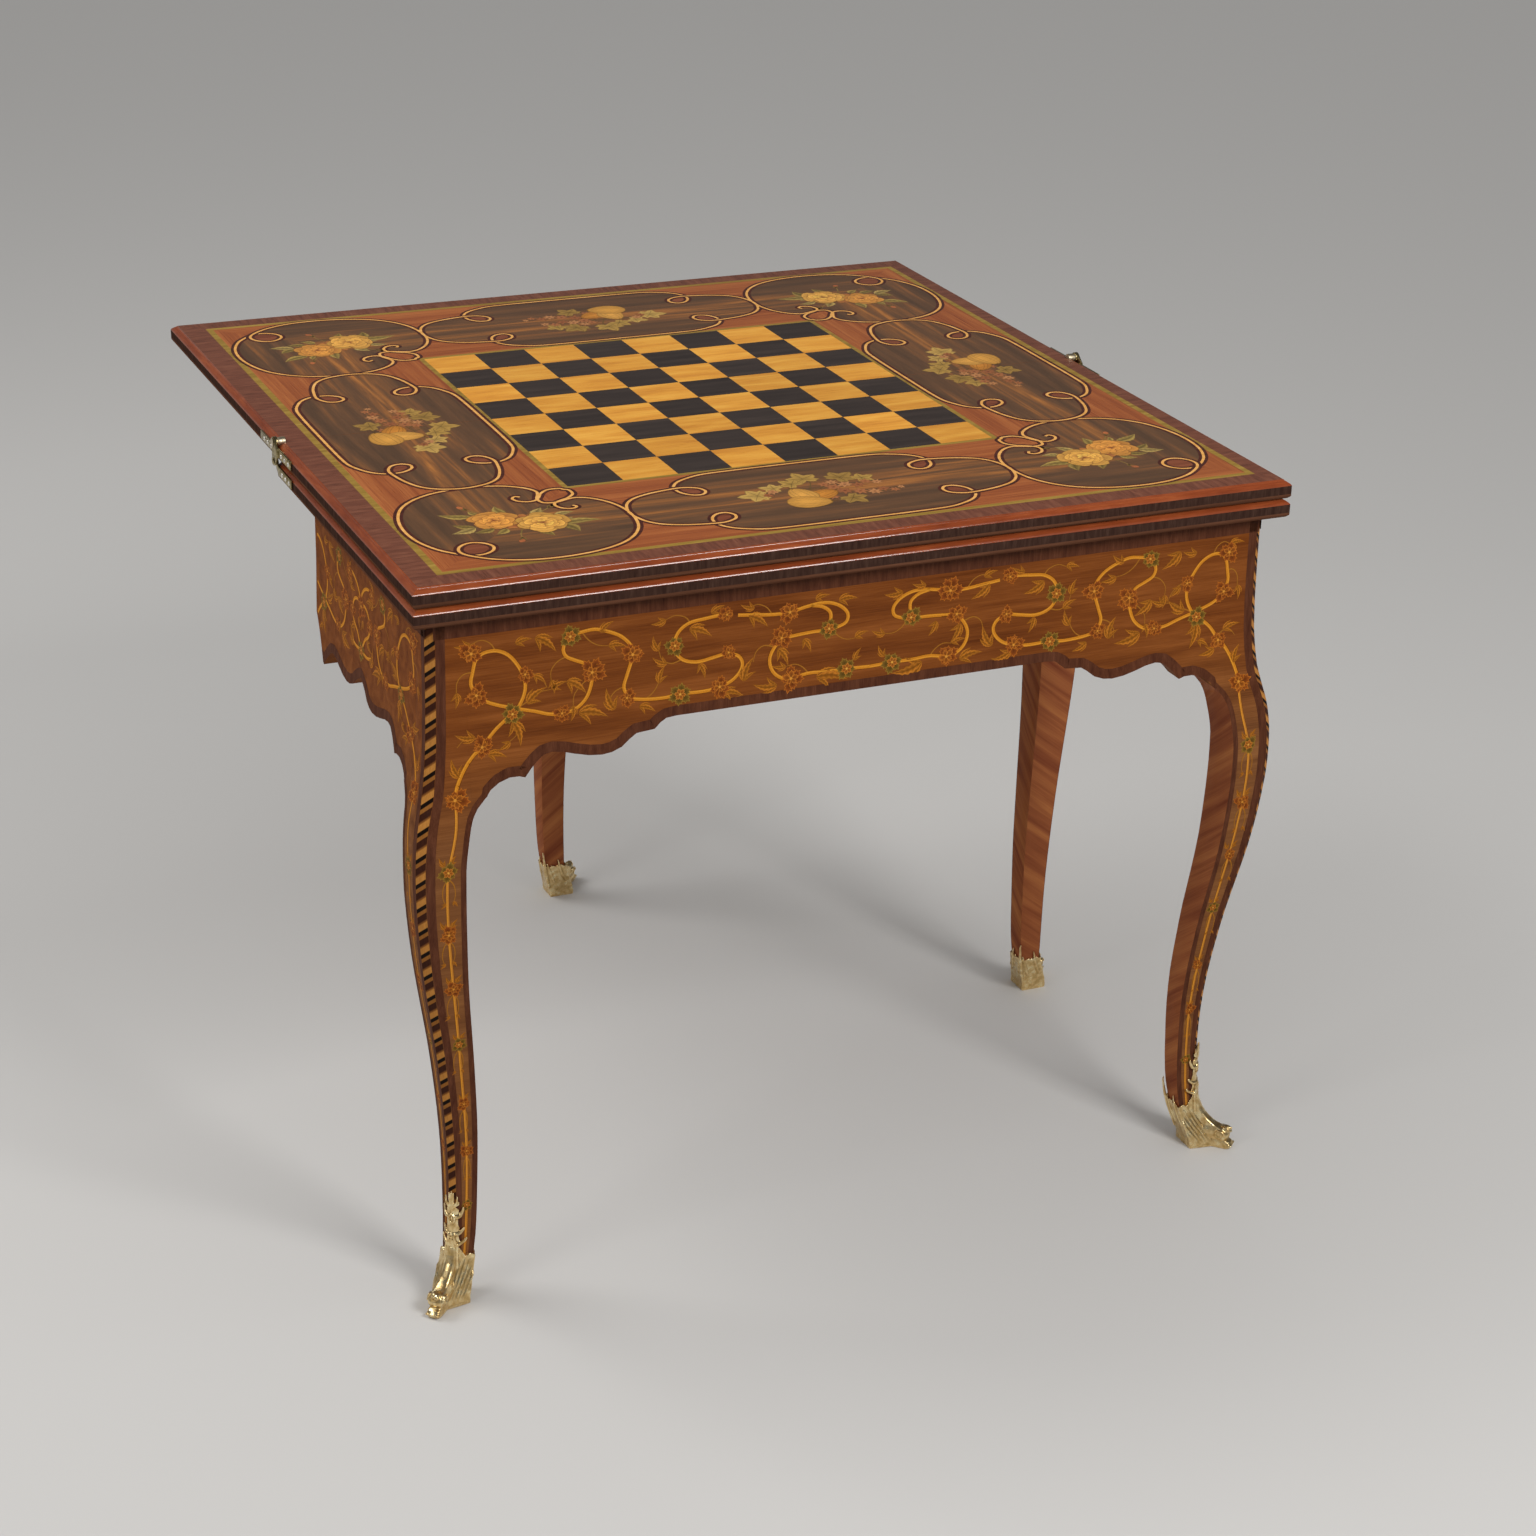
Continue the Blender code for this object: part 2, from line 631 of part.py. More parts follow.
def gate(parent):
    """The swing leg, its rail and its sabot, drawn closed about the hinge's axis."""
    corner = (-FRAME_SIDE, FRAME_BACK - GATE_AXIS_Y)
    signs = (-1, 1)
    leg("gate_leg", corner, signs, parent)
    sabot("gate_sabot", corner, signs, parent)
    gate_ear(parent)
    rail_top = FRAME_TOP - END_GAP * 2
    back = RAIL_BACK - GATE_AXIS_Y
    low = (-FRAME_SIDE + POST_SIDE + TOUCH_GAP, back - RAIL_THICKNESS, rail_top - RAIL_HEIGHT)
    place("gate_rail", box(low, (-END_GAP, back, rail_top)), "carcase", parent)


def butt_leaf(name, side, base, held, parent):
    """One leaf of a butt hinge, with the knuckles it holds, bored for the pin."""
    centre_y = 0.0 if parent else GATE_AXIS_Y
    near = BUTT_RADIUS + BUTT_KEEP
    knuckle = BUTT_LENGTH / KNUCKLE_COUNT
    outline = [(side * BUTT_REACH, base), (side * BUTT_REACH, base + BUTT_LENGTH)]
    ranges = []
    for index in held:
        low = base + knuckle * index + (TOUCH_GAP if index else 0.0)
        high = base + knuckle * (index + 1)
        tab_end = side * BUTT_KEEP
        outline += [(side * near, high), (tab_end, high), (tab_end, low), (side * near, low)]
        ranges.append((low, high))
    if len(held) < KNUCKLE_COUNT - 1:
        outline.insert(2, (side * near, base + BUTT_LENGTH))
        outline.append((side * near, base))
    face = centre_y - RAIL_RECESS - BUTT_PROUD + TOUCH_GAP
    plate = place(name, prism(outline, face, face + BUTT_PLATE, "Y"), "hinge_iron", parent)
    centre = (0.0, centre_y, 0.0)
    for low, high in ranges:
        barrel = turned([(low + BUTT_STEP, BUTT_RADIUS), (high - BUTT_STEP, BUTT_RADIUS)], "Z", centre)
        barrel_name = name + ("_barrel" if low == ranges[0][0] else "_second_barrel")
        combine(plate, place(barrel_name, barrel, "hinge_iron", parent), "UNION")
    hole = BUTT_PIN_RADIUS + TOUCH_GAP / 2
    bore_ends = [(base - CUT_OVERRUN, hole), (base + BUTT_LENGTH + CUT_OVERRUN, hole)]
    bore = turned(bore_ends, "Z", centre)
    combine(plate, place(name + "_bore", bore, "hinge_iron", parent), "DIFFERENCE")


def butt_hinges(swing_parent):
    """Two iron butt hinges between the outer back rail and the swing rail."""
    middle = FRAME_TOP - END_GAP - RAIL_HEIGHT / 2
    for label, shift in (("upper", BUTT_SPACING / 2), ("lower", -BUTT_SPACING / 2)):
        base = middle + shift - BUTT_LENGTH / 2
        butt_leaf("butt_" + label + "_fixed", 1, base, (2, 0), None)
        butt_leaf("butt_" + label + "_swing", -1, base, (1,), swing_parent)
        ends = [(base, BUTT_PIN_RADIUS), (base + BUTT_LENGTH, BUTT_PIN_RADIUS)]
        pin = turned(ends, "Z", (0.0, GATE_AXIS_Y, 0.0))
        place("butt_" + label + "_pin", pin, "hinge_iron", smooth=True)


def bored(item, side, inner, outer, height, parent=None):
    """Bore a pin hole along X through a strap's eye."""
    hole = PIN_RADIUS + TOUCH_GAP / 2
    profile = [(side * (inner - CUT_OVERRUN), hole), (side * (outer + CUT_OVERRUN), hole)]
    bore_name = item.name + ("_bore_low" if height < LOWER_AXIS + CUT_OVERRUN else "_bore_high")
    bore = place(bore_name, turned(profile, "X", (0.0, 0.0, height)), "hinge_brass", parent)
    combine(item, bore, "DIFFERENCE")


def single_strap(name, side, direction, base, axis_height, eye_radius, parent=None):
    """A strap on a leaf's side with one eye, lying against the leaf."""
    middle = base + STRAP_RISE
    half = STRAP_HEIGHT / 2
    far = direction * STRAP_LENGTH
    near = direction * STRAP_START
    start = 90 - direction * EYE_START_TURN
    eye = arc((0.0, axis_height), eye_radius, start, start + direction * EYE_SWEEP, EYE_STEPS)
    outline = [(near, middle + half), *eye, (near, middle - half), (far, middle - half), (far, middle + half)]
    outer = SIDE_FACE + STRAP_THICKNESS
    strap = place(name, prism(outline, side * SIDE_FACE, side * outer, "X"), "hinge_brass", parent)
    bored(strap, side, SIDE_FACE, outer, axis_height, parent)


def middle_strap(name, side):
    """The middle leaf's strap: it steps out over the other two and has both eyes."""
    middle = MIDDLE_BASE + STRAP_RISE
    half = STRAP_HEIGHT / 2
    inner = SIDE_FACE
    step = SIDE_FACE + STRAP_THICKNESS + TOUCH_GAP
    outer = step + STRAP_THICKNESS
    ends = sorted((side * inner, side * (inner + STRAP_THICKNESS)))
    low = (ends[0], -STRAP_LENGTH, middle - half)
    strap = place(name, box(low, (ends[1], -STRAP_START, middle + half)), "hinge_brass")
    ends = sorted((side * (inner + TOUCH_GAP), side * outer))
    low = (ends[0], -STRAP_NECK, middle - half)
    neck = place(name + "_neck", box(low, (ends[1], -STRAP_START, middle + half)), "hinge_brass")
    combine(strap, neck, "UNION")
    outline = [(-STRAP_NECK, middle - half)]
    outline += arc((0.0, LOWER_AXIS), LOWER_EYE_RADIUS, -140, 0, EYE_STEPS)
    outline += arc((0.0, UPPER_AXIS), UPPER_EYE_RADIUS, 0, 140, EYE_STEPS)
    outline += [(-STRAP_NECK, middle + half)]
    plate = place(name + "_plate", prism(outline, side * step, side * outer, "X"), "hinge_brass")
    combine(strap, plate, "UNION")
    bored(strap, side, inner, outer, LOWER_AXIS)
    bored(strap, side, inner, outer, UPPER_AXIS)


def side_hinges(top_parent):
    """Brass strap hinges on the leaves' ends, left and right."""
    outer = SIDE_FACE + STRAP_THICKNESS * 2 + TOUCH_GAP
    head = outer + TOUCH_GAP
    for side, label in ((-1, "left"), (1, "right")):
        name = "hinge_" + label
        single_strap(name + "_bottom", side, -1, BOTTOM_BASE, LOWER_AXIS, LOWER_EYE_RADIUS)
        middle_strap(name + "_middle", side)
        base = MIDDLE_BASE - UPPER_AXIS
        single_strap(name + "_top", side, 1, base, 0.0, UPPER_EYE_RADIUS, top_parent)
        upper = [
            (side * (HALF_WIDTH - BARREL_LENGTH), BARREL_RADIUS),
            (side * HALF_WIDTH, BARREL_RADIUS),
            (side * HALF_WIDTH, PIN_RADIUS),
            (side * head, PIN_RADIUS),
            (side * head, PIN_HEAD_RADIUS),
            (side * (head + PIN_HEAD_HEIGHT), PIN_HEAD_RADIUS),
        ]
        place(name + "_upper_pin", turned(upper, "X", (0.0, 0.0, UPPER_AXIS)), "hinge_brass", smooth=True)
        lower = [
            (side * SIDE_FACE, PIN_RADIUS),
            (side * head, PIN_RADIUS),
            (side * head, PIN_HEAD_RADIUS),
            (side * (head + PIN_HEAD_HEIGHT), PIN_HEAD_RADIUS),
        ]
        place(name + "_lower_pin", turned(lower, "X", (0.0, 0.0, LOWER_AXIS)), "hinge_brass", smooth=True)


def pivot(name, location, turn=0.0):
    """An empty on a joint's axis."""
    made = bpy.data.objects.new(name, None)
    made.location = location
    made.rotation_euler = (0.0, 0.0, turn)
    bpy.context.scene.collection.objects.link(made)
    return made


def centre_on_floor():
    """Move everything so that the origin is under the middle of the whole table."""
    for item in bpy.data.objects:
        if not item.parent:
            item.location.y += CENTRE_SHIFT


def build():
    """Model the whole table."""
    clear_scene()
    top_pivot = pivot("top_leaf_pivot", (0.0, 0.0, UPPER_AXIS))
    gate_pivot = pivot("gate_pivot", (0.0, GATE_AXIS_Y, 0.0), GATE_OPEN_TURN)

    leaf("bottom_leaf", BOTTOM_BASE, -1, False)
    leaf("middle_leaf", MIDDLE_BASE, -1, True)
    leaf("top_leaf", MIDDLE_BASE - UPPER_AXIS, 1, True, top_pivot)

    corners = (
        ("front_left", (-FRAME_SIDE, FRAME_FRONT), (-1, -1)),
        ("front_right", (FRAME_SIDE, FRAME_FRONT), (1, -1)),
        ("back_right", (FRAME_SIDE, FRAME_BACK), (1, 1)),
    )
    for label, corner, signs in corners:
        leg("leg_" + label, corner, signs)
        sabot("sabot_" + label, corner, signs)
    front_apron()
    side_apron("left", -1)
    side_apron("right", 1)
    back_rails()
    inside_timbers()
    gate(gate_pivot)
    butt_hinges(gate_pivot)
    side_hinges(top_pivot)
    centre_on_floor()


build()
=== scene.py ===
import math
import random

import bmesh
import bpy
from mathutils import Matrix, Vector


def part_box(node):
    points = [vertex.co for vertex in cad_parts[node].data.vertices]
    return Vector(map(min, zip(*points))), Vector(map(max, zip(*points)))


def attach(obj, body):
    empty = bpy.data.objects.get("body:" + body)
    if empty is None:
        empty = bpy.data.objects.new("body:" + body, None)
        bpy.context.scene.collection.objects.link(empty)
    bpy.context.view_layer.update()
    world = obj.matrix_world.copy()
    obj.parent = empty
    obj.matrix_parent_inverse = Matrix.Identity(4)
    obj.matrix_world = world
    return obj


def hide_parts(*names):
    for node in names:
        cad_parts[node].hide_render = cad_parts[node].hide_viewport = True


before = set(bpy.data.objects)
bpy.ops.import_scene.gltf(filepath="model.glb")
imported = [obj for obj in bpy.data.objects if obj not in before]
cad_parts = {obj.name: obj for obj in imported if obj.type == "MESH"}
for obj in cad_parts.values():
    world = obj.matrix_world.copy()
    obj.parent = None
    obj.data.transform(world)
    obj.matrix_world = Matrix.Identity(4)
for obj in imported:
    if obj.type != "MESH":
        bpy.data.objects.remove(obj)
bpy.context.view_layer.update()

MM = 0.001
ROOT = math.sqrt(2)

# The table's planes, read from the solids. The crossbanding of the top runs a lip out over the mouldings,
# and the leaves hang over the frame at the front and the sides.
SEAM = (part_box("middle_leaf_core")[1][1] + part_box("top_leaf_core")[0][1]) / 2
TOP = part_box("middle_leaf_marquetry")[1][2]
LEAF_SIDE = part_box("middle_leaf_edge_right")[1][0]
LEAF_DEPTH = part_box("top_leaf_back_edge")[1][1] - SEAM
MIDDLE_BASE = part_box("middle_leaf_core")[0][2]
BOTTOM_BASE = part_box("bottom_leaf_core")[0][2]
FRAME_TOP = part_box("leg_front_left")[1][2]
EDGE_WIDTH = 15 * MM
LIP = 7.9 * MM
OVERHANG = 17 * MM
FRAME_SIDE = LEAF_SIDE - OVERHANG
FRAME_FRONT = SEAM - LEAF_DEPTH + OVERHANG
FRAME_BACK = SEAM - 20 * MM
FRAME_LENGTH = FRAME_BACK - FRAME_FRONT
GATE_AXIS = SEAM - 18 * MM
SIDE_LENGTH = 417.5
POST = 51 * MM
POST_BASE = 547 * MM
GATE_JOINT = 366.3 * MM

# How far the veneers and mouldings stop short of the seam
SEAM_GAP = 0.15 * MM

# Layout of the marquetry, in millimetres from the middle of the board
PATTERN_SHIFT = 4.0 * MM
SQUARE = 57.5
BOARD = 4 * SQUARE
BOARD_LINE = BOARD + 5.5
FIELD = 417.0
OLIVE_LINE = 424.0


def linear(code):
    """Turn an sRGB hex colour into the linear values that a shader takes."""
    values = [int(code[place:place + 2], 16) / 255 for place in (1, 3, 5)]
    return tuple(v / 12.92 if v <= 0.04045 else ((v + 0.055) / 1.055) ** 2.4 for v in values)


def colour(code, share=1.0):
    """The linear colour with alpha, darkened or lightened by a share."""
    return tuple(min(1.0, v * share) for v in linear(code)) + (1.0,)


def feed(tree, made, inputs):
    """Fill a node's inputs with values, or link them."""
    for name, value in inputs.items():
        if isinstance(value, bpy.types.NodeSocket):
            tree.links.new(value, made.inputs[name])
        else:
            made.inputs[name].default_value = value


def node(tree, kind, inputs=None, stops=(), **settings):
    """Add a shader node with its inputs, its settings and the (place, colour) stops of a ramp."""
    made = tree.nodes.new(kind)
    for name, value in settings.items():
        setattr(made, name, value)
    feed(tree, made, inputs or {})
    if stops:
        band = made.color_ramp
        while len(band.elements) < len(stops):
            band.elements.new(0.5)
        for element, (place, value) in zip(band.elements, stops):
            element.position = place
            element.color = value
    return made


def blank(name):
    """A new material with its node tree and its shader."""
    made = bpy.data.materials.new(name)
    made.use_nodes = True
    return made, made.node_tree, made.node_tree.nodes["Principled BSDF"]


def toned(codes, places=(0.30, 0.50, 0.70)):
    """Ramp stops that give hex colours to places in a pattern."""
    return [(place, colour(code)) for place, code in zip(places, codes)]


def greys(dark, light):
    """Ramp stops that darken and lighten a wood by a fine grain."""
    return [(0.3, (dark, dark, dark, 1)), (0.7, (light, light, light, 1))]


# A mix that multiplies, the colour that leaves a veneer as it is, and the length of one turn of rope
MULTIPLY = {"data_type": "RGBA", "blend_type": "MULTIPLY"}
PLAIN = (1, 1, 1, 1)
TWIST = 25 * MM


def polished_wood(name, tones, pore=(40, 0.7), figure=(320, 14), turn=(0, 0, 0), roughness=0.3, coat=0.08,
                  source="Object", figure_share=0.5, tint=None, relief=0.25, shine=0.15, below=None,
                  polish=0.14):
    """French-polished veneer: pores a few tenths of a millimetre wide along the grain, a broad figure
    and a thin clear coat. pore and figure are length and width in millimetres; turn is the grain's turn.
    below gives the tones that the veneer changes to down the legs, and polish is the coat's roughness.
    """
    made, tree, shader = blank(name)
    place = node(tree, "ShaderNodeTexCoord").outputs[source]
    pores, figures = [node(tree, "ShaderNodeMapping", {
        "Vector": place, "Rotation": tuple(math.radians(angle) for angle in turn),
        "Scale": (length * MM, width * MM, width * MM)}, vector_type="TEXTURE").outputs["Vector"]
        for length, width in (pore, figure)]
    fine = node(tree, "ShaderNodeTexNoise", {
        "Vector": pores, "Scale": 1.0, "Detail": 4.0, "Roughness": 0.65}).outputs["Fac"]
    broad = node(tree, "ShaderNodeTexNoise", {
        "Vector": figures, "Scale": 1.0, "Detail": 2.0, "Roughness": 0.5, "Distortion": 0.4}).outputs["Fac"]
    both = node(tree, "ShaderNodeMix", {0: figure_share, 2: fine, 3: broad}, data_type="FLOAT").outputs[0]
    hue = node(tree, "ShaderNodeValToRGB", {"Fac": both}, toned(tones)).outputs["Color"]
    if below:
        lower = node(tree, "ShaderNodeValToRGB", {"Fac": both}, toned(below)).outputs["Color"]
        height = node(tree, "ShaderNodeSeparateXYZ", {
            "Vector": node(tree, "ShaderNodeTexCoord").outputs["Object"]}).outputs["Z"]
        drop = node(tree, "ShaderNodeMapRange", {
            "Value": height, "From Min": 0.470, "From Max": 0.620, "To Min": 1.0, "To Max": 0.0},
            interpolation_type="SMOOTHSTEP").outputs["Result"]
        hue = node(tree, "ShaderNodeMix", {0: drop, 6: hue, 7: lower}, data_type="RGBA").outputs[2]
    if tint:
        cut = node(tree, "ShaderNodeAttribute", attribute_name=tint).outputs["Color"]
        hue = node(tree, "ShaderNodeMix", {0: 1.0, 6: hue, 7: cut}, **MULTIPLY).outputs[2]
    gloss = node(tree, "ShaderNodeMapRange", {
        "Value": fine, "From Min": 0.3, "From Max": 0.7,
        "To Min": roughness * 0.85, "To Max": roughness * 1.25}).outputs["Result"]
    bump = node(tree, "ShaderNodeBump", {"Height": fine, "Strength": relief, "Distance": 0.05 * MM})
    feed(tree, shader, {"Base Color": hue, "Roughness": gloss, "IOR": 1.5, "Specular IOR Level": shine,
                        "Coat Weight": coat, "Coat Roughness": polish, "Normal": bump.outputs["Normal"]})
    return made


def dyed_veneer(name, shine=0.15, coat=0.08):
    """Small cut pieces of maple and box, dyed or scorched in hot sand: each piece carries its own colour,
    and the wood adds a faint grain of half a millimetre.
    """
    made, tree, shader = blank(name)
    grain = node(tree, "ShaderNodeMapping", {
        "Vector": node(tree, "ShaderNodeTexCoord").outputs["Object"], "Rotation": (0.0, 0.0, 0.6),
        "Scale": (14 * MM, 0.5 * MM, 0.5 * MM)}, vector_type="TEXTURE")
    fine = node(tree, "ShaderNodeTexNoise", {
        "Vector": grain.outputs["Vector"], "Scale": 1.0, "Detail": 3.0, "Roughness": 0.6})
    shade = node(tree, "ShaderNodeValToRGB", {"Fac": fine.outputs["Fac"]},
                 [(0.3, (0.72, 0.70, 0.68, 1)), (0.7, (1.08, 1.06, 1.02, 1))])
    cut = node(tree, "ShaderNodeAttribute", attribute_name="tint")
    hue = node(tree, "ShaderNodeMix", {
        0: 1.0, 6: cut.outputs["Color"], 7: shade.outputs["Color"]}, **MULTIPLY)
    feed(tree, shader, {"Base Color": hue.outputs[2], "Roughness": 0.32, "Specular IOR Level": shine,
                        "Coat Weight": coat, "Coat Roughness": 0.14})
    return made


def rope_banding(name):
    """Twisted-rope stringing: slanted slips of box, ebony and kingwood that repeat every 25 mm up the
    corner. The light and dark edges between them are as soft as saw-cut slips look under polish.
    """
    made, tree, shader = blank(name)
    place = node(tree, "ShaderNodeUVMap", uv_map="UVMap").outputs["UV"]
    parts = node(tree, "ShaderNodeSeparateXYZ", {"Vector": place})
    slant = node(tree, "ShaderNodeMath", {0: parts.outputs["X"], 1: 0.80}, operation="MULTIPLY")
    along = node(tree, "ShaderNodeMath", {0: parts.outputs["Y"], 1: slant.outputs[0]}, operation="ADD")
    turns = node(tree, "ShaderNodeMath", {0: along.outputs[0], 1: 1 / TWIST}, operation="MULTIPLY")
    slip = node(tree, "ShaderNodeMath", {0: turns.outputs[0]}, operation="FRACT")
    box, toned_box, ebony, kingwood = "#B27838", "#8E5A28", "#17100D", "#3A1E14"
    hue = node(tree, "ShaderNodeValToRGB", {"Fac": slip.outputs[0]}, toned(
        (box, box, toned_box, "#5A341C", kingwood, kingwood, toned_box, toned_box, ebony, ebony, box),
        (0.0, 0.24, 0.26, 0.34, 0.37, 0.62, 0.64, 0.79, 0.81, 0.97, 0.99)))
    grain = node(tree, "ShaderNodeMapping", {"Vector": place, "Scale": (1500.0, 120.0, 1.0)})
    fine = node(tree, "ShaderNodeTexNoise", {"Vector": grain.outputs["Vector"], "Scale": 1.0, "Detail": 2.0})
    shade = node(tree, "ShaderNodeValToRGB", {"Fac": fine.outputs["Fac"]}, greys(0.75, 1.05))
    mixed = node(tree, "ShaderNodeMix", {
        0: 1.0, 6: hue.outputs["Color"], 7: shade.outputs["Color"]}, **MULTIPLY)
    feed(tree, shader, {"Base Color": mixed.outputs[2], "Roughness": 0.35, "Specular IOR Level": 0.0,
                        "Coat Weight": 0.10, "Coat Roughness": 0.15})
    return made


def streaked_ground(name):
    """Santos rosewood veneer laid along the border: brown with pale streaks 5 to 20 mm wide that run with
    the side, palest in the middle of the border. Its UV map holds metres along and across the border.
    """
    made, tree, shader = blank(name)
    place = node(tree, "ShaderNodeUVMap", uv_map="UVMap").outputs["UV"]
    streaks = node(tree, "ShaderNodeMapping", {"Vector": place, "Scale": (3.6, 75.0, 1.0)})
    pores = node(tree, "ShaderNodeMapping", {"Vector": place, "Scale": (40.0, 1300.0, 1.0)})
    broad = node(tree, "ShaderNodeTexNoise", {
        "Vector": streaks.outputs["Vector"], "Scale": 1.0, "Detail": 4.0, "Roughness": 0.6,
        "Distortion": 0.5})
    fine = node(tree, "ShaderNodeTexNoise", {
        "Vector": pores.outputs["Vector"], "Scale": 1.0, "Detail": 3.0, "Roughness": 0.6})
    across = node(tree, "ShaderNodeSeparateXYZ", {"Vector": place})
    middle = node(tree, "ShaderNodeMath", {0: across.outputs["Y"], 1: 318 * MM}, operation="SUBTRACT")
    away = node(tree, "ShaderNodeMath", {0: middle.outputs[0]}, operation="ABSOLUTE")
    near = node(tree, "ShaderNodeMapRange", {
        "Value": away.outputs[0], "From Min": 8 * MM, "From Max": 50 * MM, "To Min": 0.09, "To Max": -0.06},
        interpolation_type="SMOOTHSTEP")
    amount = node(tree, "ShaderNodeMath", {0: broad.outputs["Fac"], 1: near.outputs["Result"]},
                  operation="ADD")
    hue = node(tree, "ShaderNodeValToRGB", {"Fac": amount.outputs[0]}, toned(
        ("#563D29", "#69482E", "#86562E", "#B07034"), (0.34, 0.52, 0.64, 0.78)))
    shade = node(tree, "ShaderNodeValToRGB", {"Fac": fine.outputs["Fac"]}, greys(0.78, 1.08))
    mixed = node(tree, "ShaderNodeMix", {
        0: 1.0, 6: hue.outputs["Color"], 7: shade.outputs["Color"]}, **MULTIPLY)
    feed(tree, shader, {"Base Color": mixed.outputs[2], "Roughness": 0.3, "Specular IOR Level": 0.15,
                        "Coat Weight": 0.08, "Coat Roughness": 0.14})
    return made


def worked_metal(name, tones, roughness, grain, pitting=0.3, hollow=None):
    """Metal with a hand-worked surface: tone and gloss change over grain millimetres, with fine pitting.

    Where the piece says how deep a point lies, its hollows keep the dark patina that polishing leaves.
    """
    made, tree, shader = blank(name)
    place = node(tree, "ShaderNodeTexCoord").outputs["Object"]
    patch, pits = [node(tree, "ShaderNodeTexNoise", {
        "Vector": place, "Scale": 1 / (size * MM), "Detail": detail}).outputs["Fac"]
        for size, detail in ((grain, 4.0), (0.8, 3.0))]
    hue = node(tree, "ShaderNodeValToRGB", {"Fac": patch}, toned(tones, (0.30, 0.50, 0.68))).outputs["Color"]
    if hollow:
        depth = node(tree, "ShaderNodeAttribute", attribute_name=hollow)
        shade = node(tree, "ShaderNodeValToRGB", {"Fac": depth.outputs["Color"]}, [
            (0.30, (1.10, 1.10, 1.10, 1)), (0.55, (0.98, 0.95, 0.90, 1)), (0.85, (0.42, 0.34, 0.22, 1))])
        hue = node(tree, "ShaderNodeMix", {0: 1.0, 6: hue, 7: shade.outputs["Color"]}, **MULTIPLY).outputs[2]
    gloss = node(tree, "ShaderNodeMapRange", {
        "Value": patch, "From Min": 0.3, "From Max": 0.7,
        "To Min": roughness * 1.3, "To Max": roughness * 0.8})
    bump = node(tree, "ShaderNodeBump", {"Height": pits, "Strength": pitting, "Distance": 0.12 * MM})
    feed(tree, shader, {"Base Color": hue, "Roughness": gloss.outputs["Result"], "Metallic": 1.0,
                        "Normal": bump.outputs["Normal"]})
    return made


def both_ways(name, tones, **finish):
    """One wood twice: with its grain along X and along Y."""
    return [polished_wood("%s, grain along %s" % (name, axis), tones, turn=(0, 0, turn), **finish)
            for axis, turn in (("X", 0), ("Y", 90))]


# Finishes of the table. The frame's upright woods are waxed, with no shine of the bare wood.
WAXED = {"shine": 0.0, "coat": 0.10}
DULL = {"shine": 0.0, "coat": 0.0, "source": "UV"}
OAK = ("#5E3F24", "#7A5533", "#916A44")
SATINWOOD = polished_wood("satinwood squares, French polished", ("#C27A26", "#DE9936", "#F0B64E"),
                          pore=(30, 0.9), figure=(90, 14), tint="tone")
EBONY = polished_wood("ebony squares, French polished", ("#2A211D", "#382E29", "#473B34"),
                      pore=(26, 0.6), figure=(120, 10), tint="tone", roughness=0.33)
TULIP_ALONG, TULIP_ACROSS = both_ways("tulipwood field", ("#71321A", "#985228", "#B8703A"), pore=(70, 1.0),
                                      figure=(420, 7), figure_share=0.45)
CROSSBAND_ALONG, CROSSBAND_ACROSS = both_ways("kingwood crossbanding", ("#512D1F", "#6F402E", "#85543D"),
                                              pore=(16, 0.7), figure=(30, 5))
CROSSBAND_UP = polished_wood("kingwood crossbanding, grain upright", ("#3C1E14", "#502D1D", "#623A27"),
                             pore=(16, 0.7), figure=(30, 5), turn=(0, 90, 0), **WAXED)
OLIVE = polished_wood("green-stained stringing", ("#72581E", "#94742C", "#AC8C40"), pore=(20, 0.8),
                      figure=(90, 6))
LOOP_FIELD = polished_wood("toned tulipwood inside the loops", ("#5C2A1A", "#7C4228", "#945638"),
                           pore=(40, 1.0), figure=(90, 6))
GROUND = streaked_ground("Santos rosewood ground, quartered along the border")
STRAP = polished_wood("boxwood strapwork", ("#CA8A3E", "#E2A454", "#F2BC70"), pore=(12, 0.9), figure=(40, 8))
STRAP_LINE = polished_wood("purpleheart outline of the strapwork", ("#331610", "#4A2016", "#5E2C1C"),
                           pore=(12, 0.9), figure=(40, 8))
CUTWORK = dyed_veneer("dyed and sand-scorched maple")
CUTWORK_UPRIGHT = dyed_veneer("dyed and sand-scorched maple of the frame, waxed", **WAXED)
APRON_GROUND = polished_wood("walnut ground of the frame, French polished", ("#55290E", "#703C17", "#884E22"),
                             pore=(34, 0.9), figure=(160, 12), figure_share=0.55,
                             below=("#5A361E", "#724828", "#885A34"), **WAXED)
LEG_INSIDE = polished_wood("tulipwood on the slant, inside of the legs", ("#6A3220", "#8C5030", "#AC6C3E"),
                           pore=(60, 0.9), figure=(220, 13), turn=(0, 0, 38), source="UV", figure_share=0.68,
                           **WAXED)
MOULD_RED = polished_wood("padouk moulding, waxed and polished", ("#682D16", "#853E1F", "#A0542C"),
                          pore=(30, 0.8), figure=(160, 8), source="UV", coat=0.9, shine=0.05,
                          relief=0.06, polish=0.11)
MOULD_UNDER = polished_wood("padouk moulding, underside", ("#442A1E", "#5A3A2A", "#6C4836"), pore=(30, 0.8),
                            figure=(160, 8), roughness=0.4, **DULL)
MOULD_DARK = polished_wood("kingwood edge, crossgrained", ("#2A1B17", "#392720", "#4A362D"), pore=(12, 0.7),
                           figure=(24, 4), turn=(0, 0, 90), roughness=0.40, **DULL)
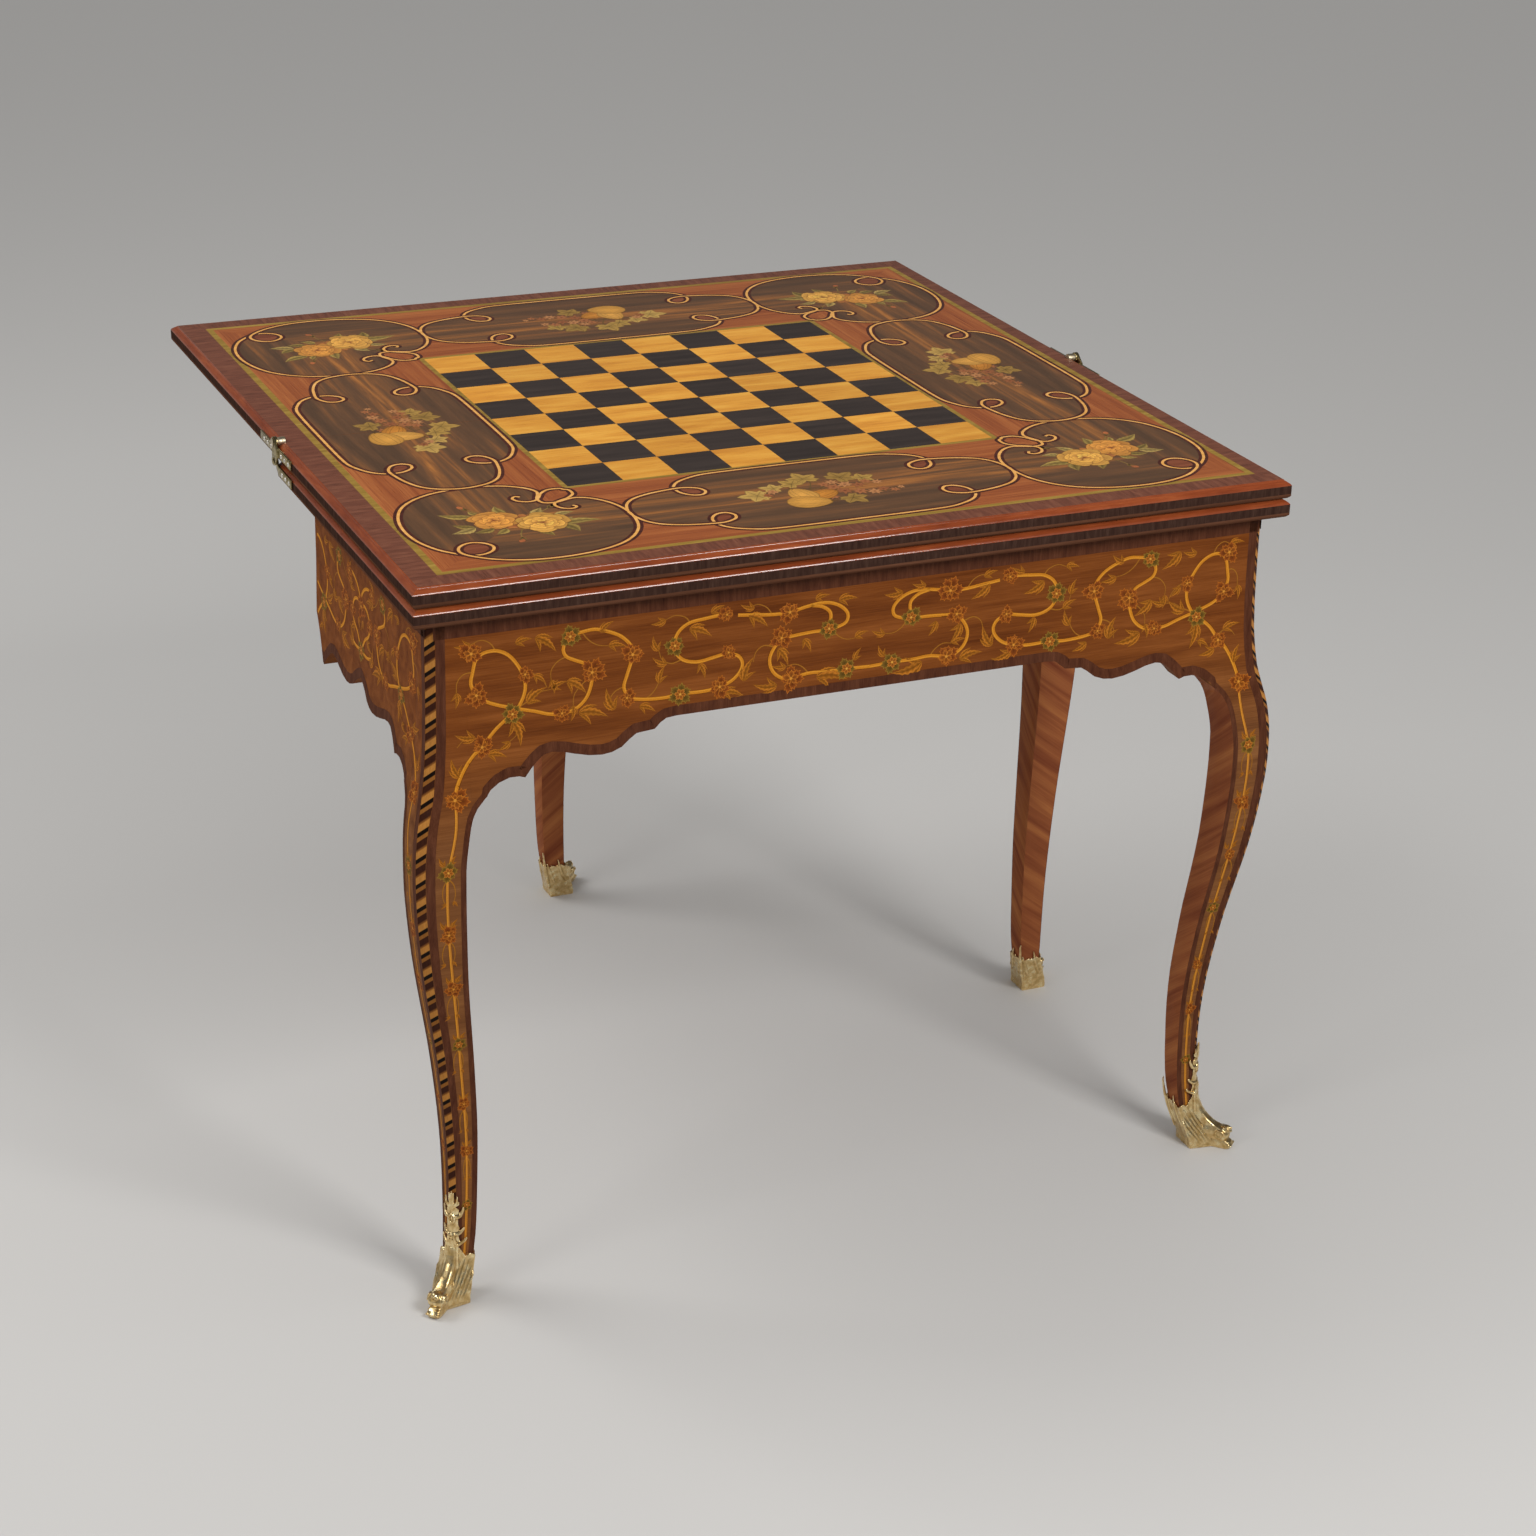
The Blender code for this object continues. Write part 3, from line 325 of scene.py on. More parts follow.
CARCASE = polished_wood("oak carcase, planed and oiled", OAK, pore=(45, 0.8), figure=(260, 18),
                        roughness=0.6, coat=0.0, relief=0.5)
CARCASE_UP = polished_wood("oak carcase, grain along Y", OAK, pore=(45, 0.8), figure=(260, 18),
                           turn=(0, 0, 90), roughness=0.6, coat=0.0, relief=0.5)
ROPE = rope_banding("rope banding of box, ebony and walnut")
GILT = worked_metal("gilt bronze, cast and chased", ("#C4A468", "#E4C892", "#F6E6B6"), 0.30, 6,
                    hollow="hollow")
BRASS = worked_metal("brass hinge, worn and toned", ("#7A6C48", "#A39468", "#C8B98E"), 0.32, 4, pitting=0.15)
# Painted highlight: the knuckle's brass is paler than the plates', for the light that its round barrel
# catches.
KNUCKLE_PAINTED_HIGHLIGHT = worked_metal("brass knuckle, rubbed bright", ("#B8A888", "#D6C8AA", "#EADFC6"), 0.42, 3,
                       pitting=0.15)
# Painted highlight: the screw heads' pale steel stands in for the glint that they catch.
STEEL_PAINTED_HIGHLIGHT = worked_metal("steel screw, bright head", ("#D2CCC0", "#EAE4D8", "#F8F4EA"), 0.45, 3, pitting=0.1)
IRON = worked_metal("wrought iron, darkened", ("#2E2A27", "#423D38", "#57514A"), 0.5, 8)


def clear_selection():
    """Leave edit mode and select nothing."""
    if bpy.context.object and bpy.context.object.mode != "OBJECT":
        bpy.ops.object.mode_set(mode="OBJECT")
    bpy.ops.object.select_all(action="DESELECT")


def pick(piece):
    """Make a piece the only one selected."""
    clear_selection()
    piece.select_set(True)
    bpy.context.view_layer.objects.active = piece


def finish_with(piece, kind, **settings):
    """Add a modifier to a piece and apply it."""
    pick(piece)
    change = piece.modifiers.new(kind.lower(), kind)
    for name, value in settings.items():
        setattr(change, name, value)
    bpy.ops.object.modifier_apply(modifier=change.name)


def open_up(piece):
    """Open one piece for shaping, with all of it selected."""
    pick(piece)
    bpy.ops.object.mode_set(mode="EDIT")
    bpy.ops.mesh.select_all(action="SELECT")


def cut_open(place, across, **keep):
    """Cut all of the open piece along the plane through a place."""
    bpy.ops.mesh.select_all(action="SELECT")
    bpy.ops.mesh.bisect(plane_co=place, plane_no=across, **keep)


def new_piece(name, mesh, *materials):
    """Set a mesh into the scene as a piece of its own."""
    for material in materials:
        mesh.materials.append(material)
    piece = bpy.data.objects.new(name, mesh)
    bpy.context.scene.collection.objects.link(piece)
    return piece


def within(share):
    """A share kept between none and the whole."""
    return min(1.0, max(0.0, share))


def smooth_under(piece, degrees):
    """Shade a piece smooth where its faces meet at less than an angle."""
    pick(piece)
    bpy.ops.object.shade_smooth_by_angle(angle=math.radians(degrees))


def soften(piece, width):
    """Round a piece's sharp edges and shade it smooth between them."""
    finish_with(piece, "BEVEL", width=width, segments=2, limit_method="ANGLE",
                angle_limit=math.radians(35), harden_normals=False)
    smooth_under(piece, 32)


def set_down(piece):
    """Put a piece's place and turn into its mesh."""
    pick(piece)
    bpy.ops.object.transform_apply(location=True, rotation=True, scale=True)


def settle(piece, body, slot, *nodes):
    """Let a finished piece ride on its body and stand for its solids."""
    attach(piece, body)
    if nodes:
        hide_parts(*nodes)
    return piece


def drawn_out(name, rings):
    """Draw a solid out: a filled circle is laid on the first ring and extruded to each one after it."""
    clear_selection()
    bpy.ops.mesh.primitive_circle_add(vertices=len(rings[0]), radius=MM, fill_type="NGON")
    piece = bpy.context.object
    piece.name = name
    bpy.ops.object.mode_set(mode="EDIT")
    mesh = bmesh.from_edit_mesh(piece.data)
    mesh.faces.ensure_lookup_table()
    for loop, point in zip(mesh.faces[0].loops, rings[0]):
        loop.vert.co = point
    for ring in rings[1:]:
        bpy.ops.mesh.extrude_region_move()
        mesh = bmesh.from_edit_mesh(piece.data)
        end = next(face for face in mesh.faces if face.select)
        for loop, point in zip(end.loops, ring):
            loop.vert.co = point
    bpy.ops.mesh.select_all(action="SELECT")
    bpy.ops.mesh.normals_make_consistent(inside=False)
    bpy.ops.object.mode_set(mode="OBJECT")
    return piece


def faced_copy(node_name, name):
    """Copy a solid of the frame, with its loose triangles merged back into whole faces."""
    piece = new_piece(name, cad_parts[node_name].data.copy())
    piece.data.materials.clear()
    open_up(piece)
    bpy.ops.mesh.remove_doubles(threshold=0.01 * MM)
    bpy.ops.mesh.dissolve_limited(angle_limit=math.radians(0.4))
    bpy.ops.object.mode_set(mode="OBJECT")
    return piece


def lay_uv(piece, rule):
    """Give each face corner the UV that rule(face, point) returns."""
    layer = piece.data.uv_layers.get("UVMap") or piece.data.uv_layers.new(name="UVMap")
    for face in piece.data.polygons:
        for index in face.loop_indices:
            point = piece.data.vertices[piece.data.loops[index].vertex_index].co
            layer.data[index].uv = rule(face, point)


def veneer(piece, finishes, finish_of):
    """Give each face the one of the finishes that finish_of(face) names."""
    for material in finishes:
        piece.data.materials.append(material)
    for face in piece.data.polygons:
        face.material_index = finishes.index(finish_of(face))


# Outline of the legs, read from the front-left leg's solid. Beside a post's joint the veneers need a run
# to settle from the apron's reach onto the leg's.
JOINT_RUN = 14 * MM


def leg_rings():
    """Height of each ring with how far the outer corner and the inner faces stand from the frame's corner."""
    rings = {}
    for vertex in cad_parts["leg_front_left"].data.vertices:
        rings.setdefault(round(vertex.co.z, 5), []).append(vertex.co.x)
    return sorted((z, -min(xs) - FRAME_SIDE, max(xs) + FRAME_SIDE) for z, xs in rings.items())


LEG_RINGS = leg_rings()
LEG_OUTSIDE = [(height, outside) for height, outside, _ in LEG_RINGS]
LEG_INNER = [(height, depth) for height, _, depth in LEG_RINGS]


def read_at(outline, u):
    """Read an outline's second value at a place along it."""
    if u <= outline[0][0]:
        return outline[0][1]
    for (left, low), (right, high) in zip(outline, outline[1:]):
        if u <= right:
            return low + (high - low) * (u - left) / max(1e-9, right - left)
    return outline[-1][1]


def apron_rings():
    """Height and reach of the front apron's outer face, which has fewer rings than the legs."""
    rings = {}
    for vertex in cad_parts["front_apron"].data.vertices:
        height = round(vertex.co.z, 5)
        rings[height] = max(rings.get(height, -1.0), FRAME_FRONT - vertex.co.y)
    return sorted(rings.items())


APRON_RINGS = apron_rings()


def reach(height):
    """How far the legs' outer faces stand outside the frame's planes."""
    return read_at(LEG_OUTSIDE, height)


def skin_reach(height):
    """How far the outer veneers stand out, over a leg or over an apron."""
    if height < APRON_RINGS[0][0]:
        return reach(height)
    return max(reach(height), read_at(APRON_RINGS, height))


def face_reach(height, from_corner):
    """The veneers' reach at a distance from the corner: the joint's, which settles onto the leg's."""
    share = within((POST - from_corner) / JOINT_RUN)
    return skin_reach(height) + share * (reach(height) - skin_reach(height))


def depth_inside(height):
    """How far the inner faces stand inside the frame's planes."""
    return read_at(LEG_INNER, height)


def corner_cut(height):
    """Width of the rope band's chamfer, measured along either face."""
    return 3.1 * MM + 0.09 * (reach(height) + depth_inside(height))


def swung(x, y, z):
    """Where a point of the closed swing leg stands now that the leg is open."""
    return (y - GATE_AXIS, GATE_AXIS - x, z)


def leg_place(label):
    """Turn (outwards along X, outwards along Y, height) at a leg's corner into a point of the table."""
    corner_x = -FRAME_SIDE if label in ("front_left", "gate") else FRAME_SIDE
    corner_y = FRAME_FRONT if label.startswith("front") else FRAME_BACK
    sign_x = math.copysign(1, corner_x)
    sign_y = -1 if label.startswith("front") else 1

    def place(out_x, out_y, z):
        point = (corner_x + sign_x * out_x, corner_y + sign_y * out_y, z)
        return swung(*point) if label == "gate" else point

    return place


LEGS = {label: leg_place(label) for label in ("front_left", "front_right", "back_right", "gate")}


def own(label, part):
    """Name of the solid that is a leg's own part, and the body that it rides on."""
    return ("gate_" + part, "swing_leg") if label == "gate" else (part + "_" + label, "frame")


def back_face(label):
    """The back face of a leg as a surface: (distance outwards along the face, height, lift)."""
    return lambda along, height, lift: LEGS[label](along, reach(height) + lift, height)


def on_top(u, v, lift):
    """The top, in metres from the middle of the board."""
    return (u + PATTERN_SHIFT, v + SEAM, TOP + lift)


def on_front(u, v, lift):
    """The front of the frame: X and height."""
    return (u, FRAME_FRONT - face_reach(v, FRAME_SIDE - abs(u)) - lift, v)


def on_side(sign):
    """A side of the frame: distance behind the front plane, and height."""
    return lambda u, v, lift: (
        sign * (FRAME_SIDE + face_reach(v, min(u, FRAME_LENGTH - u)) + lift), FRAME_FRONT + u, v)


on_left, on_right = on_side(-1), on_side(1)


def on_closed_left(u, v, lift):
    """The left side where the swing leg carries it away."""
    return swung(*on_left(u, v, lift))


class Marquetry:
    """Cut veneers of one panel, in the panel's plan: points with a lift and a colour, and faces."""

    def __init__(self):
        self.points = []
        self.tints = []
        self.faces = []

    def add(self, rows, tints=None, closed=False):
        """Join rows of points of equal length by faces, in the material's own colour without tints."""
        start = len(self.points)
        count = len(rows[0])
        for row, tint_row in zip(rows, tints or [[PLAIN] * count] * len(rows)):
            self.points += row
            self.tints += tint_row
        for line in range(len(rows) - 1):
            for index in range(count if closed else count - 1):
                first = start + line * count + index
                second = start + line * count + (index + 1) % count
                self.faces.append((first, second, second + count, first + count))

    def fan(self, outline, heart, lift, edge, body, core=None, inset=0.86):
        """A piece with a darker rim: its outline, a ring just inside it and its heart."""
        start = len(self.points)
        count = len(outline)
        core = core or body
        for point in outline:
            self.points.append((point[0], point[1], lift))
            self.tints.append(edge)
        for point in outline:
            self.points.append((
                heart[0] + (point[0] - heart[0]) * inset, heart[1] + (point[1] - heart[1]) * inset, lift))
            self.tints.append(body(point) if callable(body) else body)
        self.points.append((heart[0], heart[1], lift))
        self.tints.append(core(heart) if callable(core) else core)
        for index in range(count):
            following = (index + 1) % count
            self.faces.append((
                start + index, start + following, start + count + following, start + count + index))
            self.faces.append((start + count + index, start + count + following, start + 2 * count))

    def strip(self, points, width, lift, tint, closed=False, side=0.0):
        """A line of even or changing width; side shifts it off the points by shares of the width."""
        sides = ([], [])
        count = len(points)
        for index, point in enumerate(points):
            before = points[index - 1] if closed or index else point
            after = points[(index + 1) % count] if closed or index < count - 1 else point
            along = Vector((after[0] - before[0], after[1] - before[1]))
            along = along.normalized() if along.length > 1e-9 else Vector((1, 0))
            across = Vector((-along.y, along.x))
            share = index / max(1, count - 1)
            here = width(share, point) if callable(width) else width
            level = lift(share) if callable(lift) else lift
            low = Vector(point[:2]) + across * here * (side - 0.5)
            high = Vector(point[:2]) + across * here * (side + 0.5)
            sides[0].append((low.x, low.y, level))
            sides[1].append((high.x, high.y, level))
        self.add([sides[0], sides[1]], [[tint] * count] * 2, closed)

    def lay(self, name, surface, material):
        """Lay the veneers on a surface as one piece."""
        mesh = bpy.data.meshes.new(name)
        mesh.from_pydata([surface(*point) for point in self.points], [], self.faces)
        layer = mesh.color_attributes.new("tint", "FLOAT_COLOR", "POINT")
        for index, tint in enumerate(self.tints):
            layer.data[index].color = tint
        piece = new_piece(name, mesh, material)
        face_outwards(piece, surface)
        return piece

    def lay_round(self, name, surface, material, body, slot):
        """Lay the veneers on a curved ground, shaded smoothly as the ground is."""
        piece = self.lay(name, surface, material)
        smooth_under(piece, 40)
        return settle(piece, body, slot)


def face_outwards(piece, surface):
    """Turn the veneers' faces the way that their surface faces."""
    first = Vector(surface(0.0, 0.6, 0.0))
    outward = Vector(surface(0.0, 0.6, 0.01)) - first
    shape = bmesh.new()
    shape.from_mesh(piece.data)
    for face in shape.faces:
        face.normal_update()
        if face.normal.dot(outward) < 0:
            face.normal_flip()
    shape.to_mesh(piece.data)
    shape.free()


def smooth_line(points, closed=False, step=1.6):
    """A smooth line through points in millimetres, as closely spaced points."""
    count = len(points)
    line = []
    spans = count if closed else count - 1
    for index in range(spans):
        p1 = Vector(points[index])
        p2 = Vector(points[(index + 1) % count])
        p0 = Vector(points[index - 1]) if closed or index else p1 * 2 - p2
        p3 = Vector(points[(index + 2) % count]) if closed or index + 2 < count else p2 * 2 - p1
        parts = max(2, int((p2 - p1).length / step))
        for part in range(parts):
            t = part / parts
            line.append(tuple(0.5 * (
                2 * p1 + (p2 - p0) * t + (2 * p0 - 5 * p1 + 4 * p2 - p3) * t ** 2
                + (3 * p1 - p0 - 3 * p2 + p3) * t ** 3)))
    if not closed:
        line.append(tuple(points[-1]))
    return line


def spot(x, y):
    """A place given in millimetres."""
    return (x * MM, y * MM)


def in_metres(points):
    """Points in millimetres as points in metres."""
    return [spot(x, y) for x, y in points]


# Strapwork of the border, in millimetres from the middle of the board, for the corner where both are
# positive. A cartouche is given in millimetres from its own middle.

CORNER_SIDE = [
    (268, 268), (270.5, 256), (266, 244), (264, 234), (270, 222), (285, 210), (304, 203), (325, 201),
    (346, 203), (366, 209), (385, 221), (400, 238), (410, 260), (415.5, 285), (416.5, 310), (413, 335),
    (404, 358), (393, 373), (382.5, 382.5), (373, 386), (363, 384), (355, 377), (352.5, 367),
    (357.5, 357.5),
]
CORNER_HOOKS = [
    (284, 244.5), (288.5, 242), (292.5, 247), (290, 255), (282, 260), (273.5, 259), (267, 251), (261.5, 241),
    (252, 233), (240, 233), (237, 237),
]
CARTOUCHE_QUARTER = [
    (0, 87), (40, 87), (75, 86.5), (95, 85), (109, 80.5), (123, 73), (131.5, 64), (135.6, 53.4), (134, 40),
    (126, 30), (116, 28.5), (110, 36), (112, 45.5), (120, 51.5), (130, 54), (144, 52.5), (164, 48),
    (183, 39.5), (194.5, 27), (200, 12), (201.5, 0),
]
# Where the small loops lie in these lines
LOOP_START = 18
CARTOUCHE_LOOP = (7, 14)


def over_corner(points, closed=True):
    """Half a corner's line carried on over the diagonal. A closed line has both its ends there."""
    return points + [(y, x) for x, y in reversed(points[1 if closed else 0:-1])]


def cartouche(points):
    """A quarter of a cartouche carried round all four quarters."""
    upper = points + [(x, -y) for x, y in reversed(points[:-1])]
    return upper + [(-x, y) for x, y in reversed(upper[1:-1])]


CORNERS = [(-1, -1), (1, -1), (1, 1), (-1, 1)]
BORDER_MIDDLE = 325.0

# The four sides, each as a rule from (along, across from the border's middle) to the plan
SIDE_TURNS = (lambda x, y: (x, -BORDER_MIDDLE - y), lambda x, y: (-x, BORDER_MIDDLE + y),
              lambda x, y: (-BORDER_MIDDLE - y, x), lambda x, y: (BORDER_MIDDLE + y, -x))


def at_corners(points):
    """A line repeated at the four corners."""
    return [[(sx * x, sy * y) for x, y in points] for sx, sy in CORNERS]


def at_sides(points):
    """A line repeated at the four sides."""
    return [[turn(x, y) for x, y in points] for turn in SIDE_TURNS]


def flat_faces(outlines, lift, name, material):
    """Veneers cut to outlines in millimetres and laid flat on the top."""
    mesh = bpy.data.meshes.new(name)
    shape = bmesh.new()
    for outline in outlines:
        corners = [shape.verts.new(on_top(x * MM, y * MM, lift)) for x, y in outline]
        face = shape.faces.new(corners)
        face.normal_update()
        if face.normal.z < 0:
            face.normal_flip()
    shape.to_mesh(mesh)
    shape.free()
    return new_piece(name, mesh, material)


def border_grounds():
    """Rosewood grounds of the corners and the sides, without the small loops, mitred on the diagonals."""
    first, last = CARTOUCHE_LOOP
    corner = smooth_line(over_corner(CORNER_SIDE[:LOOP_START + 1]), closed=True, step=3.0)
    side = smooth_line(cartouche(CARTOUCHE_QUARTER[:first + 1] + CARTOUCHE_QUARTER[last + 1:]),
                       closed=True, step=4.0)
    piece = flat_faces(at_corners(corner) + at_sides(side), 0.03 * MM, "border_grounds", GROUND)
    open_up(piece)
    for slope in (1, -1):
        cut_open((PATTERN_SHIFT, SEAM, TOP), (slope, 1, 0))
    bpy.ops.object.mode_set(mode="OBJECT")

    def along_border(face, point):
        x, y = point.x - PATTERN_SHIFT, point.y - SEAM
        on_side = abs(face.center.x - PATTERN_SHIFT) > abs(face.center.y - SEAM)
        return (y + 3.0, abs(x)) if on_side else (x, abs(y))

    lay_uv(piece, along_border)
    return piece


def strapwork():
    """The pale strands with their dark outline, round the corners and the cartouches. Where two strands
    cross, one lies a few hundredths of a millimetre higher.
    """
    corner = smooth_line(over_corner(CORNER_SIDE), closed=True)
    hooks = smooth_line(over_corner(CORNER_HOOKS, closed=False))
    side = smooth_line(cartouche(CARTOUCHE_QUARTER), closed=True)
    strands = []
    for strand, hook in zip(at_corners(corner), at_corners(hooks)):
        strands.append((strand, True, lambda share: 0.0 if share < 0.5 else 0.030))
        strands.append((hook, False, lambda share: 0.015))
    for strand in at_sides(side):
        strands.append((strand, True, lambda share: 0.042 if (
            0.125 < share < 0.375 or 0.625 < share < 0.875) else 0.010))
    laid = []
    for name, width, level, material in (("strapwork_outline", 9.4, 0.055, STRAP_LINE),
                                         ("strapwork", 2.9, 0.075, STRAP)):
        panel = Marquetry()
        for points, closed, rise in strands:
            panel.strip(in_metres(points), width * MM, lambda share: (level + rise(share)) * MM,
                        PLAIN, closed)
        laid.append(panel.lay(name, on_top, material))
    return laid


def loop_fields():
    """Tulipwood inside the small loops of the strapwork."""
    outlines = at_corners(smooth_line(over_corner(CORNER_SIDE[LOOP_START:]), closed=True, step=3))
    first, last = CARTOUCHE_LOOP
    loop = smooth_line(CARTOUCHE_QUARTER[first:last + 1], closed=True, step=3)
    for turn in SIDE_TURNS:
        outlines += [[turn(x, y) for x, y in quarter] for quarter in at_corners(loop)]
    return flat_faces(outlines, 0.04 * MM, "loop_fields", LOOP_FIELD)


# Cut flowers, leaves and fruit. Each takes a panel, a place in metres and a size in metres.

random.seed(7)


def turned(point, origin, angle, scale=1.0):
    """A point turned about the origin's place and set down there."""
    across = math.cos(angle) * point[0] - math.sin(angle) * point[1]
    up = math.sin(angle) * point[0] + math.cos(angle) * point[1]
    return (origin[0] + across * scale, origin[1] + up * scale)


def between(first, second, share):
    """The colour at a share of the way from one to another."""
    return tuple(low + (high - low) * share for low, high in zip(colour(first), colour(second)))


# How dark hot sand leaves the root of a petal, how much higher each one lies, and the green wood of buds
SCORCHED = 0.6
PETAL_STEP = 0.0012 * MM
BUD_GREEN = "#94743C"


def petal(panel, root, angle, length, width, lift, code, rim=None, inset=0.84, shade=None):
    """A rounded petal, scorched dark or toned with shade at its root, with a dark or a light rim."""
    outline = []
    steps = 14
    for step in range(steps):
        turn = math.tau * step / steps
        along = length * (0.5 - 0.5 * math.cos(turn))
        spread = width * 0.5 * math.sin(turn) * (0.55 + 0.55 * along / length)
        ripple = 1 + 0.05 * math.sin(3 * turn + angle * 5)
        outline.append(turned((along * ripple, spread * ripple), root, angle))
    heart = turned((length * 0.62, 0), root, angle)

    def body(point):
        away = within(math.hypot(point[0] - root[0], point[1] - root[1]) / length * 1.15)
        if shade:
            return between(shade, code, away * away)
        return colour(code, SCORCHED + (1.04 - SCORCHED) * away)

    panel.fan(outline, heart, lift, rim or colour(code, 0.30), body, inset=inset)


def rose(panel, centre, radius, turn, code, lift):
    """A full-blown rose: five rings of broad petals, toned brown at the root and cut with dark rims."""
    rings = ((6, 1.0, 1.02, 0.0, 0.90), (5, 0.80, 0.92, 0.6, 1.0), (5, 0.60, 0.68, 0.1, 1.06),
             (4, 0.42, 0.50, 0.8, 1.10), (3, 0.25, 0.32, 0.2, 1.14))
    level = lift
    for count, length_share, width_share, offset, light in rings:
        for index in range(count):
            angle = turn + offset + math.tau * (index + 0.24 * random.random()) / count
            share = light * (0.92 + 0.14 * random.random())
            tint = "#%02X%02X%02X" % tuple(
                min(255, int(int(code[place:place + 2], 16) * share)) for place in (1, 3, 5))
            size = radius * (0.90 + 0.18 * random.random())
            petal(panel, centre, angle, size * length_share, size * width_share, level, tint,
                  rim=colour("#6E3E1C"), inset=0.90, shade="#8C4C26")
            level += 0.0015 * MM
        level += 0.001 * MM
    return level


def leaf(panel, root, angle, length, width, lift, code, teeth=0.0):
    """A leaf in two halves, one sand-shaded darker, with a dark midrib."""
    steps = 12
    for half, shade in ((1, 1.0), (-1, 0.72)):
        rib = []
        middle = []
        rim = []
        for step in range(steps + 1):
            share = step / steps
            spread = width * 0.5 * math.sin(math.pi * share ** 0.72) ** 1.15
            if teeth and step % 2:
                spread *= 1 - teeth
            curve = 0.10 * length * math.sin(math.pi * share)
            rib.append((*turned((length * share, curve), root, angle), lift))
            middle.append((*turned((length * share, curve + half * spread * 0.72), root, angle), lift))
            rim.append((*turned((length * share, curve + half * spread), root, angle), lift))
        tints = [[colour(code, 0.30)] * (steps + 1),
                 [colour(code, shade * (1.0 if step % 2 else 0.80)) for step in range(steps + 1)],
                 [colour(code, 0.50 * shade)] * (steps + 1)]
        panel.add([rib, middle, rim], tints)


def vine_leaf(panel, root, angle, size, lift, code):
    """A lobed and toothed leaf with its veins cut dark."""
    outline = []
    lobes = ((-158, 0.40), (-140, 0.66), (-124, 0.62), (-108, 0.80), (-92, 0.58), (-76, 0.82), (-60, 0.98),
             (-44, 0.78), (-30, 0.66), (-16, 0.92), (0, 1.16), (16, 0.92), (30, 0.66), (44, 0.78), (60, 0.98),
             (76, 0.82), (92, 0.58), (108, 0.80), (124, 0.62), (140, 0.66), (158, 0.40), (180, 0.22))
    for degrees, share in lobes:
        outline.append(turned((size * share, 0), root, angle + math.radians(degrees)))
    heart = turned((size * 0.1, 0), root, angle)
    panel.fan(outline, heart, lift, colour(code, 0.42), colour(code, 0.95), colour(code, 0.62), inset=0.88)
    for degrees, share in ((0, 1.0), (60, 0.82), (-60, 0.82), (112, 0.62), (-112, 0.62)):
        tip = turned((size * share, 0), root, angle + math.radians(degrees))
        panel.strip([heart, ((heart[0] + tip[0]) / 2, (heart[1] + tip[1]) / 2), tip], 0.55 * MM,
                    lift + 0.011 * MM, colour(code, 0.34))


def ragged_flower(panel, centre, radius, turn, lift, code):
    """A ragged pink of seven pointed petals, seen from the front."""
    outline = []
    for index in range(14):
        share = (1.0 if index % 2 == 0 else 0.52) * (0.88 + 0.24 * random.random())
        outline.append(turned((radius * share, 0), centre, turn + math.pi * index / 7))
    panel.fan(outline, centre, lift, colour(code, 0.55), colour(code, 1.0), colour(code, 0.7), inset=0.8)
    inner = []
    for index in range(14):
        share = 0.56 if index % 2 == 0 else 0.3
        inner.append(turned((radius * share, 0), centre, turn + 0.3 + math.pi * index / 7))
    panel.fan(inner, centre, lift + 0.003 * MM, colour(code, 0.6), colour(code, 1.12), colour("#5E2A14"),
              inset=0.8)


def pear(panel, centre, size, angle, lift, code):
    """A pear: a round end and a narrower neck, shaded round its rim."""
    outline = []
    for step in range(26):
        turn = math.tau * step / 26
        swell = 1.0 - 0.30 * (0.5 + 0.5 * math.cos(turn)) ** 2
        outline.append(turned((size * 1.22 * math.cos(turn) * (1 if math.cos(turn) > 0 else 0.86),
                               size * swell * math.sin(turn) * 0.92), centre, angle))
    heart = turned((-size * 0.15, size * 0.2), centre, angle)
    panel.fan(outline, heart, lift, colour(code, 0.34), colour(code, 0.80), colour(code, 1.16), inset=0.92)
    for bulge in (-0.62, -0.30, 0.34, 0.66):
        line = []
        for step in range(13):
            along = -0.92 + 1.96 * step / 12
            curve = size * bulge * 0.86 * math.sqrt(max(0.05, 1 - (along / 1.2) ** 2))
            line.append(turned((size * along * 1.02, curve), centre, angle))
        panel.strip(line, 0.6 * MM, lift + 0.002 * MM, colour(code, 0.52))
    tip = turned((size * 1.5, size * 0.1), centre, angle)
    panel.strip([turned((size * 1.1, 0), centre, angle), tip], 1.1 * MM, lift, colour("#6A4A22"))


def bud(panel, root, angle, length, lift, code):
    """A closed bud in its two sepals, on a short stalk."""
    stalk = [root, turned((length * 0.6, length * 0.05), root, angle)]
    panel.strip(stalk, 1.3 * MM, lift, colour(BUD_GREEN, 0.9))
    base = stalk[1]
    petal(panel, base, angle, length * 0.75, length * 0.42, lift + 0.003 * MM, code)
    for turn in (0.35, -0.35):
        leaf(panel, base, angle + turn, length * 0.5, length * 0.16, lift + 0.005 * MM, BUD_GREEN)


